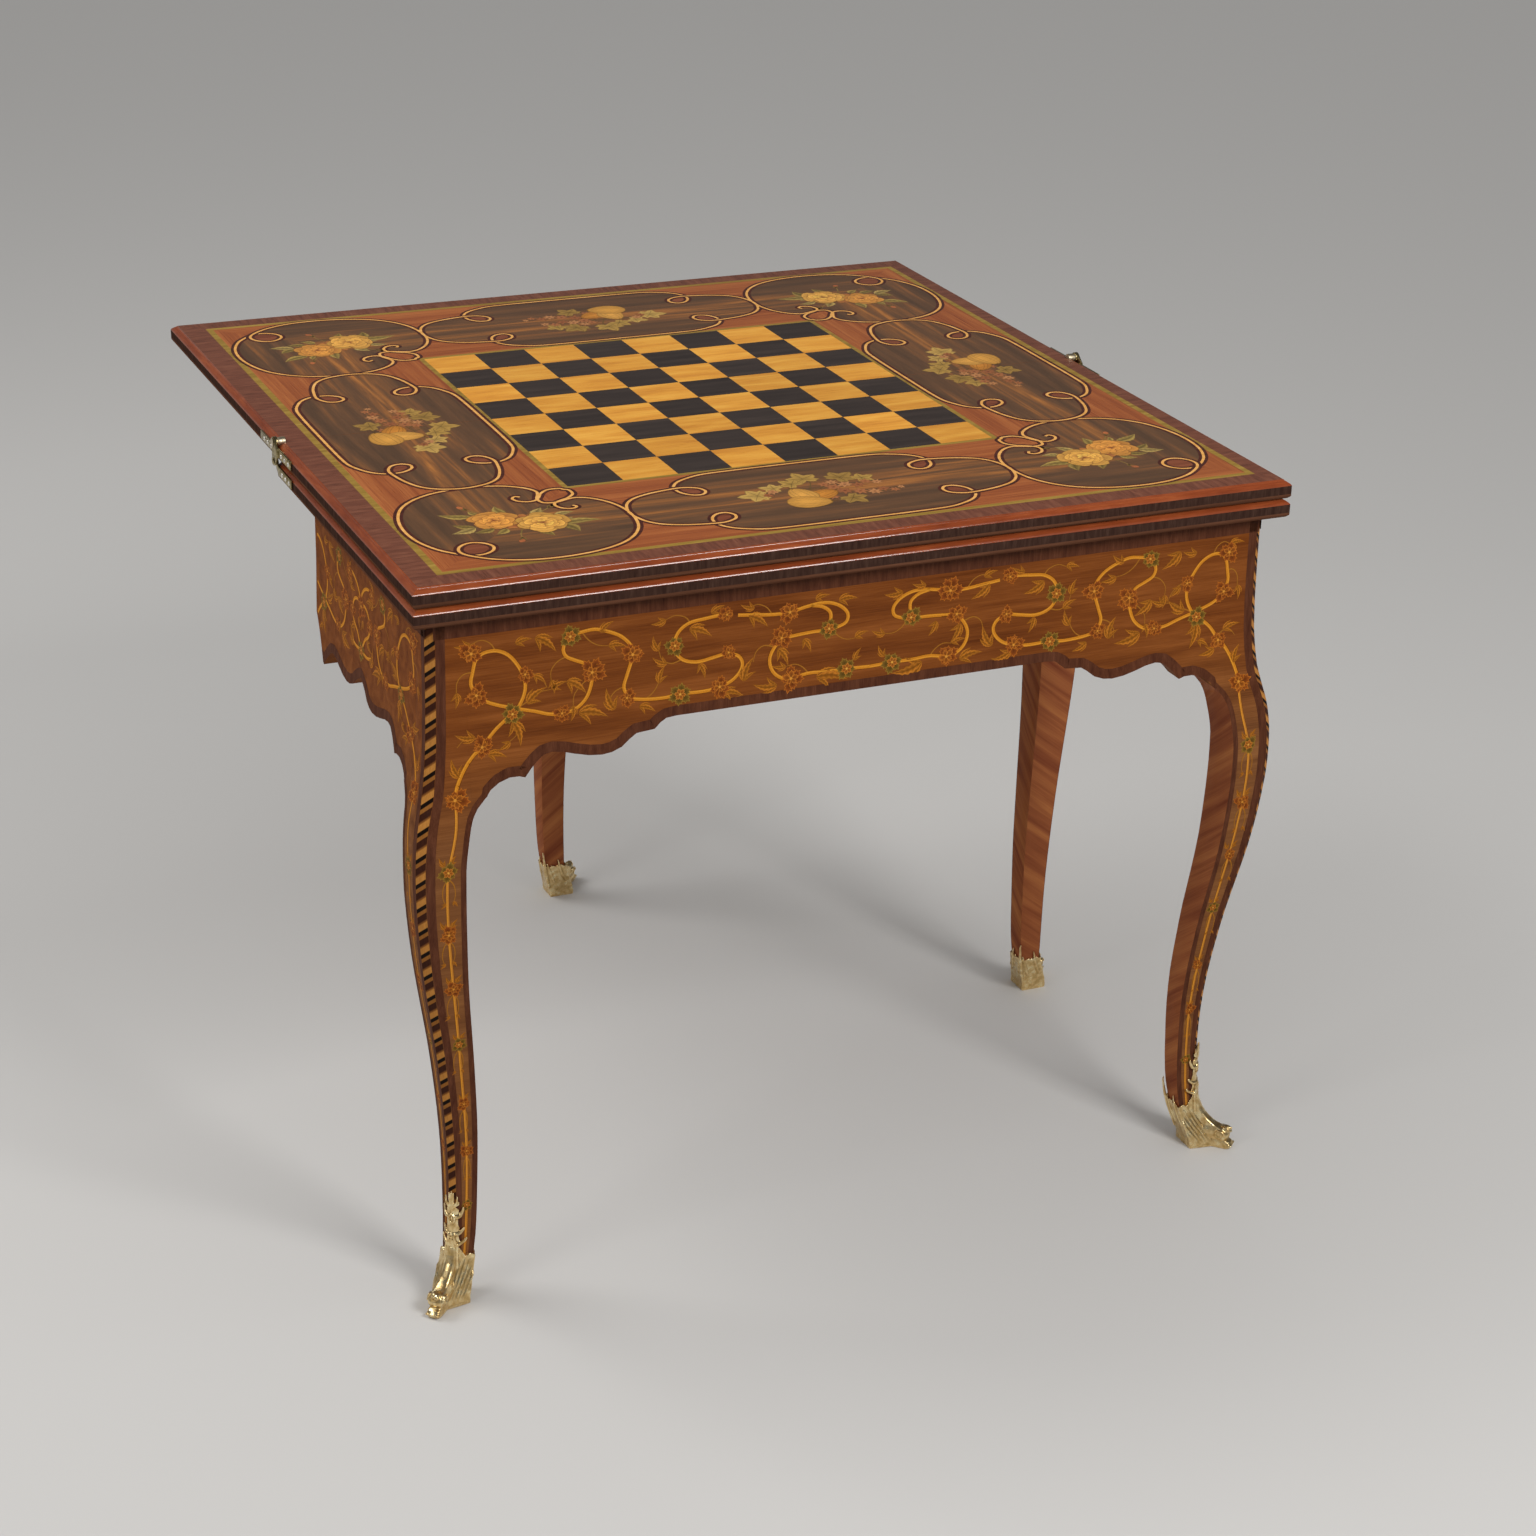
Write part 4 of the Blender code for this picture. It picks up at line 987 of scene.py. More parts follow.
def rose_bouquet(spin):
    """Two roses with buds and slender leaves on their stalks, for a corner."""
    panel = Marquetry()
    for points in (
            ((-14, 10), (-24, 17), (-33, 25)), ((-18, 4), (-30, 0), (-40, -2)),
            ((-12, 18), (-20, 28), (-27, 36)), ((18, -12), (27, -16), (35, -18)),
            ((2, -10), (-4, -22), (-8, -32)), ((10, 4), (22, 14), (30, 20))):
        panel.strip(in_metres(smooth_line(points, step=3)), 1.2 * MM, 0.044 * MM, colour("#7C6430"))
    leaves = ((-32, 24, 153, 30, 13), (-38, -2, 146, 20, 11), (-38, -3, 200, 25, 13), (33, -17, -2, 36, 14),
              (33, -18, -70, 24, 13), (35, -14, 38, 16, 9), (-14, -14, -140, 17, 10),
              (-24, -10, -165, 20, 11), (20, 8, 62, 22, 12), (-4, 22, 96, 22, 11), (8, -26, -60, 20, 10),
              (34, 4, 14, 20, 10), (-26, 26, 112, 14, 7))
    for index, (x, y, degrees, length, width) in enumerate(leaves):
        code = ("#C0A052", "#AC8E48", "#CCAC62")[index % 3]
        leaf(panel, spot(x, y), math.radians(degrees), length * MM, width * MM,
             (0.048 + index * 0.0013) * MM, code, 0.12)
    for x, y, degrees, code in (
            (-25, 33, 118, "#B86A3C"), (-7, -28, -108, "#AC6238"), (28, 18, 36, "#BC7442")):
        bud(panel, spot(x, y), math.radians(degrees), 17 * MM, 0.067 * MM, code)
    for index, (degrees, length) in enumerate((
            (58, 19), (92, 17), (128, 16), (-122, 18), (-88, 19), (-56, 17))):
        petal(panel, (0, 0), math.radians(degrees), length * MM, 13 * MM, (0.078 + index * 0.0013) * MM,
              "#B8743A", rim=colour("#6E3E1C"), inset=0.88, shade="#7A4024")
    rose(panel, spot(-18, 9), 23 * MM, spin, "#E29C44", 0.096 * MM)
    rose(panel, spot(19, -9), 25 * MM, spin + 0.8, "#ECB050", 0.146 * MM)
    return panel


def fruit_spray():
    """Two pears with sprays of small blossom and vine leaves, for a side."""
    panel = Marquetry()
    for points in (
            ((-24, 4), (-6, 8), (20, 4), (48, 10), (66, 8)), ((-6, 6), (24, -12), (56, -20), (82, -16)),
            ((-10, 8), (-32, 14), (-58, 8)), ((-4, 8), (4, 26), (2, 40)), ((6, 6), (26, 22), (38, 34))):
        panel.strip(in_metres(smooth_line(points, step=3)), 1.3 * MM, 0.045 * MM, colour("#6A5026"))
    for index, (x, y, degrees, size) in enumerate((
            (2, 36, 100, 20), (36, 30, 35, 20), (-58, 6, 175, 20), (-14, 26, 125, 16), (24, -28, -60, 18),
            (-36, 20, 150, 15), (56, 22, 20, 15))):
        code = ("#BC9448", "#A8823E", "#CCA456")[index % 3]
        vine_leaf(panel, spot(x, y), math.radians(degrees), size * MM, (0.050 + index * 0.0014) * MM, code)
    sprays = ((20, 6, 10), (34, 10, 9.5), (46, 5, 9), (57, 12, 8), (67, 7, 7), (26, -8, 10), (40, -14, 9.5),
              (53, -19, 9), (64, -15, 8), (74, -20, 6.5), (83, -15, 5), (12, -4, 9), (14, 16, 8),
              (-42, 12, 8), (-50, 4, 7), (8, -20, 8), (24, 20, 7.5))
    for index, (x, y, size) in enumerate(sprays):
        code = ("#AC6C40", "#C08452", "#9E6038")[index % 3]
        ragged_flower(panel, spot(x, y), size * MM, index * 0.7, (0.074 + index * 0.0014) * MM, code)
    for x, y, size, degrees, lift, code in ((2, -11, 15, 25, 0.112, "#C8822E"),
                                            (-17, -6, 17, 100, 0.124, "#DCA048"),
                                            (-21, -27, 20, -12, 0.136, "#D69A42")):
        pear(panel, spot(x, y), size * MM, math.radians(degrees), lift * MM, code)
    return panel


def planted(bed, panel, place, scale):
    """Set a bouquet into the plan of the top, where place puts its middle and turns it."""
    start = len(bed.points)
    for x, y, lift in panel.points:
        u, v = place(x * scale, y * scale)
        bed.points.append((u, v, lift))
    bed.tints += panel.tints
    bed.faces += [tuple(index + start for index in face) for face in panel.faces]


def bouquets():
    """All the bouquets of the top as one sheet of cut veneers."""
    bed = Marquetry()
    for index, (sx, sy) in enumerate(CORNERS):
        planted(bed, rose_bouquet(0.4 + index), lambda x, y, sx=sx, sy=sy: (
            sx * (309 * MM - x), sy * (311 * MM - y)), 1.12)
    spray = fruit_spray()
    for turn in SIDE_TURNS:
        def place(x, y, turn=turn):
            along, across = turn(x / MM - 8, -y / MM)
            return (along * MM, across * MM)
        planted(bed, spray, place, 1.0)
    return bed.lay("bouquets", on_top, CUTWORK)


# Where the groove of the hinge's barrel starts and its radius, and the thickness of the flat veneers
BARREL_START = LEAF_SIDE - 8.6 * MM
BARREL_GROOVE = 4.9 * MM
VENEER = 1.2 * MM


def board_leaf(name, front):
    """The flat marquetry of one leaf: half the board, the field, the stringing and the crossbanding.

    A plane is cut along every joint, each part gets its veneer, and the sheet is given its thickness.
    """
    side = LEAF_SIDE - EDGE_WIDTH + LIP
    depth = LEAF_DEPTH - EDGE_WIDTH + LIP
    sign = -1 if front else 1
    clear_selection()
    middle = SEAM + sign * (depth + SEAM_GAP) / 2
    bpy.ops.mesh.primitive_plane_add(size=1, location=(0, middle, TOP))
    piece = bpy.context.object
    piece.name = name
    piece.scale = (2 * side, depth - SEAM_GAP, 1)
    set_down(piece)
    lines = [SQUARE * step for step in range(-4, 5)]
    for line in (BOARD_LINE, FIELD, OLIVE_LINE):
        lines += [-line, line]
    cuts = [((PATTERN_SHIFT + line * MM, 0, TOP), (1, 0, 0)) for line in lines]
    cuts += [((0, SEAM + line * MM, TOP), (0, 1, 0)) for line in lines]
    cuts += [((PATTERN_SHIFT, SEAM, TOP), (slope, 1, 0)) for slope in (1, -1)]
    cuts += [((end, 0, TOP), (1, 0, 0)) for end in (-BARREL_START, BARREL_START)]
    cuts.append(((0, SEAM + sign * BARREL_GROOVE, TOP), (0, 1, 0)))
    bpy.ops.object.mode_set(mode="EDIT")
    for place, across in cuts:
        cut_open(place, across)
    mesh = bmesh.from_edit_mesh(piece.data)
    for face in mesh.faces:
        middle = face.calc_center_median()
        face.select = abs(middle.x) > BARREL_START and abs(middle.y - SEAM) < BARREL_GROOVE
    bmesh.update_edit_mesh(piece.data)
    bpy.ops.mesh.delete(type="FACE")
    bpy.ops.object.mode_set(mode="OBJECT")
    finishes = (SATINWOOD, EBONY, OLIVE, TULIP_ALONG, TULIP_ACROSS, CROSSBAND_ALONG, CROSSBAND_ACROSS)
    for material in finishes:
        piece.data.materials.append(material)
    tone = piece.data.color_attributes.new("tone", "FLOAT_COLOR", "CORNER")
    shades = {}
    for face in piece.data.polygons:
        x = (face.center.x - PATTERN_SHIFT) / MM
        y = (face.center.y - SEAM) / MM
        far = max(abs(x), abs(y))
        on_side = abs(x) > abs(y)
        shade = 1.0
        if far < BOARD:
            square = (math.floor(x / SQUARE), math.floor(y / SQUARE))
            finish = EBONY if sum(square) % 2 == 0 else SATINWOOD
            if square not in shades:
                shades[square] = 0.88 + 0.17 * random.random()
            shade = shades[square]
        elif far < BOARD_LINE or FIELD < far < OLIVE_LINE:
            finish = OLIVE
        elif far < FIELD:
            finish = TULIP_ACROSS if on_side else TULIP_ALONG
        else:
            finish = CROSSBAND_ALONG if on_side else CROSSBAND_ACROSS
        face.material_index = finishes.index(finish)
        for index in face.loop_indices:
            tone.data[index].color = (shade, shade, shade, 1)
    finish_with(piece, "SOLIDIFY", thickness=VENEER, offset=-1.0)
    return piece


# Heights on a leaf's edge: the end of the bevel below, and of the dark face
BEVEL_TOP = 4.5 * MM
FACE_TOP = 13.65 * MM


def mould_profile(rebated):
    """Profile of a leaf's edge from the core outwards: bevel, face, tight arris, sloping shoulder and a small
    step. The upper leaves have a rebate behind the step, where their crossbanding runs on.
    """
    points = [(0.0, 0.0), (11.6, 0.0), (12.4, 0.35), (14.2, 2.0), (14.8, 2.7), (15.0, 3.5), (15.0, 5.2),
              (15.0, 13.6), (14.97, 13.72), (14.60, 14.32), (14.22, 14.92), (13.5, 15.5), (12.6, 16.2),
              (11.4, 17.0), (10.2, 17.72), (9.5, 18.07), (9.24, 18.47), (8.9, 18.84),
              (8.5, 19.09), (8.0, 19.2)]
    points += [(8.0, 18.0), (0.0, 18.0)] if rebated else [(4.0, 19.2), (0.0, 19.2)]
    return [(out * MM, up * MM) for out, up in points]


def moulding(name, base, front):
    """The moulded edge round three sides of a leaf, mitred at the corners."""
    inner_x = LEAF_SIDE - EDGE_WIDTH
    inner_y = LEAF_DEPTH - EDGE_WIDTH
    sign = -1 if front else 1
    profile = mould_profile(not name.startswith("bottom"))
    rings = []
    for side, at_seam in ((-1, True), (-1, False), (1, False), (1, True)):
        ring = []
        for out, up in profile:
            along = SEAM_GAP if at_seam else inner_y + out
            ring.append((side * (inner_x + out), SEAM + sign * along, base + up))
        rings.append(ring)
    piece = drawn_out(name, rings)

    def along_and_round(face, point):
        x, y = abs(face.normal.x), abs(face.normal.y)
        if y < 0.3 * x or abs(point.x) > inner_x + 0.1 * MM and y < 0.5:
            return (point.y, abs(point.x) + point.z)
        return (point.x, abs(point.y) + point.z)

    def finish_of(face):
        up = face.center.z - base
        if up < BEVEL_TOP:
            return MOULD_UNDER
        return MOULD_DARK if up < FACE_TOP and abs(face.normal.z) < 0.3 else MOULD_RED

    lay_uv(piece, along_and_round)
    veneer(piece, (MOULD_RED, MOULD_DARK, MOULD_UNDER), finish_of)
    return piece


def grooved(piece, side, axis_height):
    """Cut the half-round groove in which the hinge's barrel lies."""
    clear_selection()
    bpy.ops.mesh.primitive_cylinder_add(
        vertices=32, radius=BARREL_GROOVE, depth=24 * MM,
        location=(side * (BARREL_START + 12 * MM), SEAM, axis_height), rotation=(0, math.pi / 2, 0))
    cutter = bpy.context.object
    finish_with(piece, "BOOLEAN", operation="DIFFERENCE", solver="EXACT", object=cutter)
    bpy.data.objects.remove(cutter, do_unlink=True)


def leaves():
    """The three leaves: mouldings, marquetry and cores."""
    low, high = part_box("hinge_left_upper_pin")
    axis_height = (low[2] + high[2]) / 2
    for name, base, front, body in (("bottom_leaf", BOTTOM_BASE, True, "frame"),
                                    ("middle_leaf", MIDDLE_BASE, True, "frame"),
                                    ("top_leaf", MIDDLE_BASE, False, "top_leaf")):
        piece = moulding(name + "_moulding", base, front)
        if name != "bottom_leaf":
            for side in (-1, 1):
                grooved(piece, side, axis_height)
        smooth_under(piece, 28)
        long_edge = name + ("_front_edge" if front else "_back_edge")
        settle(piece, body, "edge", long_edge, name + "_edge_left", name + "_edge_right")
    for name, front, body in (("middle_leaf", True, "frame"), ("top_leaf", False, "top_leaf")):
        settle(board_leaf(name + "_board", front), body, "marquetry", name + "_marquetry")
    for name in ("bottom_leaf_core", "middle_leaf_core", "top_leaf_core"):
        dress(name, CARCASE)


def dress(node_name, material):
    """Give a solid of the frame its finish."""
    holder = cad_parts[node_name]
    if not holder.material_slots:
        holder.data.materials.append(material)
    for place in holder.material_slots:
        place.material = material


def top_inlay():
    """Grounds, strapwork and bouquets of the border, cut at the seam, so that each leaf has its own half."""
    straps = strapwork()
    for piece in (border_grounds(), loop_fields(), *straps, bouquets()):
        for end, sign, body in (("_front", -1, "frame"), ("_back", 1, "top_leaf")):
            half = new_piece(piece.name + end, piece.data.copy())
            open_up(half)
            cut_open((0, SEAM + sign * SEAM_GAP, TOP), (0, 1, 0), clear_outer=sign < 0, clear_inner=sign > 0)
            bpy.ops.object.mode_set(mode="OBJECT")
            settle(half, body, "marquetry")
        bpy.data.objects.remove(piece, do_unlink=True)


# Legs and aprons

def leg(label):
    """A cabriole leg: rope banding on its cut corner, walnut outside and slanting tulipwood inside."""
    node_name, body = own(label, "leg")
    piece = faced_copy(node_name, node_name + "_veneered")
    place = LEGS[label]
    origin = Vector(place(0, 0, 0))
    out_x = Vector(place(1, 0, 0)) - origin
    out_y = Vector(place(0, 1, 0)) - origin

    def finish_of(face):
        along_x, along_y = face.normal.dot(out_x), face.normal.dot(out_y)
        if along_x > 0.4 and along_y > 0.4:
            return ROPE
        return APRON_GROUND if along_x > 0.5 or along_y > 0.5 else LEG_INSIDE

    def wrapped(face, point):
        away_x, away_y = (point - origin).dot(out_x), (point - origin).dot(out_y)
        if finish_of(face) == ROPE:
            return ((away_x - away_y) / ROOT, point.z)
        faces_x = abs(face.normal.dot(out_x)) > abs(face.normal.dot(out_y))
        return (away_y if faces_x else -away_x, point.z)

    lay_uv(piece, wrapped)
    veneer(piece, (ROPE, APRON_GROUND, LEG_INSIDE), finish_of)
    soften(piece, 0.45 * MM)
    return settle(piece, body, "leg", node_name)


# How near a point of an apron's outer face lies to it, and a height over the whole lower edge
ON_FACE = 0.6 * MM
APRON_MIDDLE = 0.6


def lower_outline(node_name, side):
    """Lower edge of an apron's outer face: distance along and height, from one end to the other."""
    lowest = {}
    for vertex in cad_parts[node_name].data.vertices:
        x, y, z = vertex.co
        if side == "gate":
            x, y = GATE_AXIS - y, x + GATE_AXIS
        away, along = (FRAME_FRONT - y, x) if side == "front" else (abs(x) - FRAME_SIDE, y - FRAME_FRONT)
        if abs(away - reach(z)) < ON_FACE and z < APRON_MIDDLE:
            along = round(along, 5)
            lowest[along] = min(lowest.get(along, 1.0), z)
    return sorted(lowest.items())


# Bands: where they end, how wide and how high they lie. The lower one widens between two heights.
FOOT_END = 42 * MM
TOP_BAND = 703.5 * MM
BAND_TOP = FRAME_TOP - 0.3 * MM
ROPE_BAND = 9 * MM
LEG_BAND = 5.5 * MM
APRON_BAND = 10 * MM
BAND_TURN = (0.545, 0.562)
BAND_LIFT = 0.10 * MM
GROUND_LIFT = 0.05 * MM


def spaced(start, end, step):
    """Places from start to end, about a step apart."""
    count = max(1, int(abs(end - start) / step))
    return [start + (end - start) * index / count for index in range(count + 1)]


def leg_edge():
    """Inner edge of a leg on a face: distance outside the frame's corner and height, from the foot up."""
    return [(-depth_inside(height), height) for height in spaced(FOOT_END, POST_BASE - 2 * MM, 8 * MM)]


def dense(points):
    """Points every three millimetres along a line of straight pieces."""
    line = []
    for (x, z), (next_x, next_z) in zip(points, points[1:]):
        parts = max(1, int(math.hypot(next_x - x, next_z - z) / (3.0 * MM)))
        for part in range(parts):
            share = part / parts
            line.append((x + (next_x - x) * share, z + (next_z - z) * share))
    line.append(points[-1])
    return line


def skin(panel, joint, toward, outline):
    """A strip of ground veneer that runs on over the joint between an apron and a post, down to their lower
    edge. toward points from the joint to the post's corner.
    """
    high = TOP_BAND + 2 * MM
    rings = sorted({z for z, _, _ in LEG_RINGS} | {z for z, _ in APRON_RINGS})
    columns = []
    for away in (-5, 0, 7, 14.5):
        place = joint + toward * away * MM
        low = read_at(outline, place) + 0.4 * MM
        heights = [min(high, max(low, z)) for z in rings if POST_BASE < z < high - 1 * MM]
        columns.append([(place, height, GROUND_LIFT) for height in [low] + heights + [high]])
    panel.add(columns)


def crossband(panel, points):
    """The lower crossband on the inner side of an outline: narrow down the leg and wider along the apron."""
    def width(share, point):
        part = within((point[1] - BAND_TURN[0]) / (BAND_TURN[1] - BAND_TURN[0]))
        return LEG_BAND + (APRON_BAND - LEG_BAND) * part

    panel.strip(dense(points), width, BAND_LIFT, PLAIN, side=0.5)


def beside_rope(height):
    """Width of the dark band beside the rope banding, which narrows towards the foot."""
    return ROPE_BAND * (0.62 + 0.38 * within((height - 0.12) / 0.35))


def upright_band(panel, face_sign, corner_u):
    """The dark band beside the rope banding, on one face. face_sign points from the face to the corner."""
    outer = []
    inner = []
    for height in spaced(FOOT_END, BAND_TOP, 8 * MM):
        edge = reach(height) - corner_cut(height) - 0.3 * MM
        outer.append((corner_u + face_sign * edge, height, BAND_LIFT))
        inner.append((corner_u + face_sign * (edge - beside_rope(height)), height, BAND_LIFT))
    panel.add([outer, inner])


def top_band(panel, start, end):
    """The dark crossband under the leaves."""
    places = spaced(start, end, 12 * MM)
    panel.add([[(u, height, BAND_LIFT) for u in places] for height in (TOP_BAND, BAND_TOP)])


# The slanting joint between the left apron and the swing leg's ear: where the apron's lower edge ends, and
# the part of the ear's outline that is its lower edge.
APRON_TIP = 332.3 * MM
TIP_LIFT = 0.088 * MM
EAR_START = 343 * MM
EAR_TOP = 562 * MM


def band_tip(panel, low, high):
    """The pointed end of a lower crossband at the slanting joint, from its low row to its high row."""
    panel.add([[(u * MM, z * MM, TIP_LIFT) for u, z in row] for row in (low, high)])


def front_face():
    """Crossbands of the front over the apron and both posts, and the ground over their joints."""
    outline = lower_outline("front_apron", "front")
    corner = FRAME_SIDE
    legs_left = [(-corner - u, z) for u, z in leg_edge()]
    bands = Marquetry()
    crossband(bands, legs_left + outline + [(-u, z) for u, z in reversed(legs_left)])
    upright_band(bands, -1, -corner)
    upright_band(bands, 1, corner)
    top_band(bands, -corner + 6 * MM, corner - 6 * MM)
    bands.lay_round("front_crossbands", on_front, CROSSBAND_UP, "frame", "apron")
    ground = Marquetry()
    for toward in (-1, 1):
        skin(ground, toward * (corner - POST), toward, outline)
    ground.lay_round("front_ground", on_front, APRON_GROUND, "frame", "apron")


def side_face(label, surface, apron, end):
    """Crossbands of one side from the front post back to end, and the ground over the joints."""
    outline = lower_outline(apron, label)
    front_leg = [(-u, z) for u, z in leg_edge()]
    edge = front_leg + outline
    full = SIDE_LENGTH * MM
    bands = Marquetry()
    if label == "right":
        edge = edge + [(full - u, z) for u, z in reversed(front_leg)]
        upright_band(bands, 1, full)
        top_band(bands, 6 * MM, full - 6 * MM)
    else:
        edge = [point for point in edge if point[0] < APRON_TIP]
        band_tip(bands, ((332.2, 561.1), (332.6, 561.6)), ((329.0, 570.6), (340.2, 571.0)))
        top_band(bands, 6 * MM, end)
    crossband(bands, edge)
    upright_band(bands, -1, 0.0)
    bands.lay_round(label + "_crossbands", surface, CROSSBAND_UP, "frame", "apron")
    ground = Marquetry()
    skin(ground, POST, -1, outline)
    if label == "right":
        skin(ground, full - POST, 1, outline)
    ground.lay_round(label + "_ground", surface, APRON_GROUND, "frame", "apron")


def gate_face():
    """Crossbands of the swing leg's outer face and its bracket, which carry on the left side's."""
    full = SIDE_LENGTH * MM
    outline = [point for point in lower_outline("gate_leg_ear", "gate")
               if point[0] > EAR_START and point[1] < EAR_TOP]
    bands = Marquetry()
    crossband(bands, outline + [(full + u, z) for u, z in reversed(leg_edge())])
    band_tip(bands, ((333.6, 561.5), (343.1, 561.6)), ((341.8, 571.3), (346.2, 571.2)))
    upright_band(bands, 1, full)
    top_band(bands, GATE_JOINT + 0.4 * MM, full - 6 * MM)
    bands.lay_round("swing_leg_crossbands", on_closed_left, CROSSBAND_UP, "swing_leg", "leg")


def back_face_bands(label):
    """Bands of a leg's back face, which meets no apron."""
    bands = Marquetry()
    inner = leg_edge()
    inner += [(-POST + 0.2 * MM, POST_BASE + 1 * MM), (-POST + 0.2 * MM, FRAME_TOP - 0.5 * MM)]
    bands.strip(dense(inner), LEG_BAND, BAND_LIFT, PLAIN, side=-0.5)
    upright_band(bands, 1, 0.0)
    top_band(bands, -POST + 0.3 * MM, -5 * MM)
    bands.lay_round(label + "_bands", back_face(label), CROSSBAND_UP, own(label, "leg")[1], "leg")


# Scrollwork of the frame, in millimetres on the front: distance from the middle and height.
# Stems are drawn for the left half, and the right half mirrors them.

APRON_STEMS = (
    ((-416, 546), (-412, 560), (-405, 574), (-396, 586), (-385, 596), (-372, 610), (-357, 622)),
    ((-389, 644), (-381, 638), (-370, 633), (-352, 627), (-335, 622), (-320, 617), (-306, 616),
     (-294, 619), (-284, 628), (-279, 641), (-278, 652)),
    ((-352, 625), (-345, 638), (-343, 650), (-346, 661), (-352, 672), (-360, 681), (-371, 686),
     (-383, 685), (-390, 679), (-393, 668), (-395, 657), (-391, 646)),
    ((-299, 690), (-304, 684), (-306, 678), (-303, 671), (-294, 666), (-284, 661), (-279, 653)),
    ((-299, 691), (-288, 693), (-275, 694), (-262, 690), (-250, 684), (-241, 675), (-238, 666),
     (-240, 656), (-244, 644), (-247, 633), (-243, 623)),
    ((-242, 621), (-225, 618), (-205, 617), (-192, 619), (-178, 618), (-163, 618), (-150, 620),
     (-138, 625), (-130, 633), (-128, 641), (-132, 648), (-141, 652)),
    ((-143, 653), (-158, 650), (-174, 648), (-188, 652), (-196, 662), (-196, 673), (-191, 682),
     (-181, 688), (-166, 690), (-146, 692)),
    ((-133, 689), (-115, 687), (-98, 685), (-80, 685), (-65, 688), (-50, 690), (-38, 689), (-27, 684),
     (-20, 676), (-21, 668), (-29, 664), (-42, 662), (-56, 662), (-72, 661), (-86, 659), (-95, 652),
     (-100, 641), (-98, 630), (-91, 622), (-80, 618), (-60, 621), (-42, 620), (-22, 620), (4, 619)),
    ((-58, 689), (-46, 686), (-38, 679), (-38, 668)),
)
APRON_TENDRILS = (
    ((-383, 597), (-391, 603), (-402, 604), (-410, 597)),
    ((-350, 628), (-338, 634), (-328, 640), (-318, 641)),
    ((-345, 661), (-334, 658), (-326, 651), (-322, 643)),
    ((-280, 648), (-290, 640), (-296, 632), (-297, 622)),
    ((-288, 693), (-281, 684), (-272, 678), (-262, 676)),
    ((-246, 634), (-256, 630), (-262, 621), (-262, 612)),
    ((-226, 618), (-218, 624), (-213, 632), (-212, 640)),
    ((-190, 652), (-200, 650), (-209, 655), (-212, 664)),
    ((-150, 620), (-146, 611), (-137, 607), (-127, 609)),
    ((-181, 688), (-186, 694), (-196, 697), (-205, 694)),
    ((-98, 685), (-104, 693), (-113, 697), (-122, 695)),
    ((-95, 652), (-106, 655), (-114, 650), (-117, 640)), ((-60, 621), (-66, 628), (-74, 632), (-83, 631)),
    ((-36, 664), (-30, 655), (-21, 650), (-12, 650)), ((-357, 622), (-351, 612), (-352, 602), (-359, 596)),
    ((-393, 668), (-402, 667), (-408, 660), (-409, 650)),
    ((-371, 686), (-376, 694), (-385, 698), (-394, 695)),
    ((-303, 671), (-312, 667), (-318, 659), (-318, 650)),
)
ORANGE_FLOWERS = (
    (-386, 594, 9), (-390, 645, 9), (-394, 686, 10), (-278, 652, 10), (-238, 664, 10), (-151, 620, 9),
    (-80, 685, 10), (-88, 660, 9), (-78, 618, 10), (-343, 659, 7), (-308, 616, 7), (-244, 622, 7),
    (-142, 653, 7), (-144, 691, 7),
)
GREEN_FLOWERS = (
    (-356, 622, 10), (-299, 690, 10), (-191, 618, 10), (-196, 667, 10), (-39, 663, 10), (-20, 620, 10),
)
APRON_LEAVES = (
    (-356, 615, -75, 22), (-342, 630, 35, 20), (-335, 657, -40, 13), (-303, 647, -38, 20),
    (-292, 614, -15, 25), (-256, 612, 110, 20), (-212, 632, 70, 15), (-182, 682, -25, 21),
    (-204, 650, 150, 14), (-127, 622, 65, 21), (-148, 614, -17, 18), (-122, 687, -35, 20),
    (-116, 694, 160, 13), (-92, 650, -60, 18), (-92, 613, 170, 21), (-52, 616, -12, 28), (-54, 694, 12, 13),
    (-30, 690, 0, 17), (-333, 694, -40, 22), (-392, 604, 165, 17), (-381, 586, -15, 16),
    (-409, 568, 110, 17), (-318, 641, 20, 14), (-262, 676, -10, 15), (-297, 622, -100, 13),
    (-270, 690, 35, 14), (-212, 664, 110, 14), (-172, 646, -70, 14), (-232, 612, -25, 15),
    (-394, 695, 180, 14), (-409, 650, -95, 13), (-160, 694, 25, 13), (-66, 656, -60, 14),
    (-83, 631, 170, 13), (-12, 650, 20, 13), (-12, 627, 60, 12), (-318, 650, -80, 12), (-352, 690, 10, 14),
    (-359, 596, -150, 12), (-205, 694, 190, 13),
)
SIDE_STEMS = (
    ((175, 621), (190, 617), (208, 618), (227, 617), (242, 621)),
    ((205, 622), (196, 633), (184, 641), (180, 652), (186, 663), (198, 667), (208, 662)),
    ((212, 622), (221, 633), (233, 641), (237, 652), (231, 663), (219, 667), (208, 662)),
    ((208, 662), (206, 674), (196, 684), (182, 689), (170, 687)),
    ((209, 662), (212, 674), (222, 684), (236, 689), (248, 687)),
)


def scroll_stem(panel, points, width=3.4, code="#C27C22"):
    """A boxwood stem, scorched along one edge, in layers a hundredth of a millimetre apart."""
    line = in_metres(smooth_line(points, step=2.4))
    panel.strip(line, width * 1.3 * MM, 0.095 * MM, colour("#6A3A12"), side=-0.04)
    panel.strip(line, width * MM, 0.105 * MM, colour(code))
    panel.strip(line, width * 0.36 * MM, 0.115 * MM, colour("#D08C2C"), side=0.6)


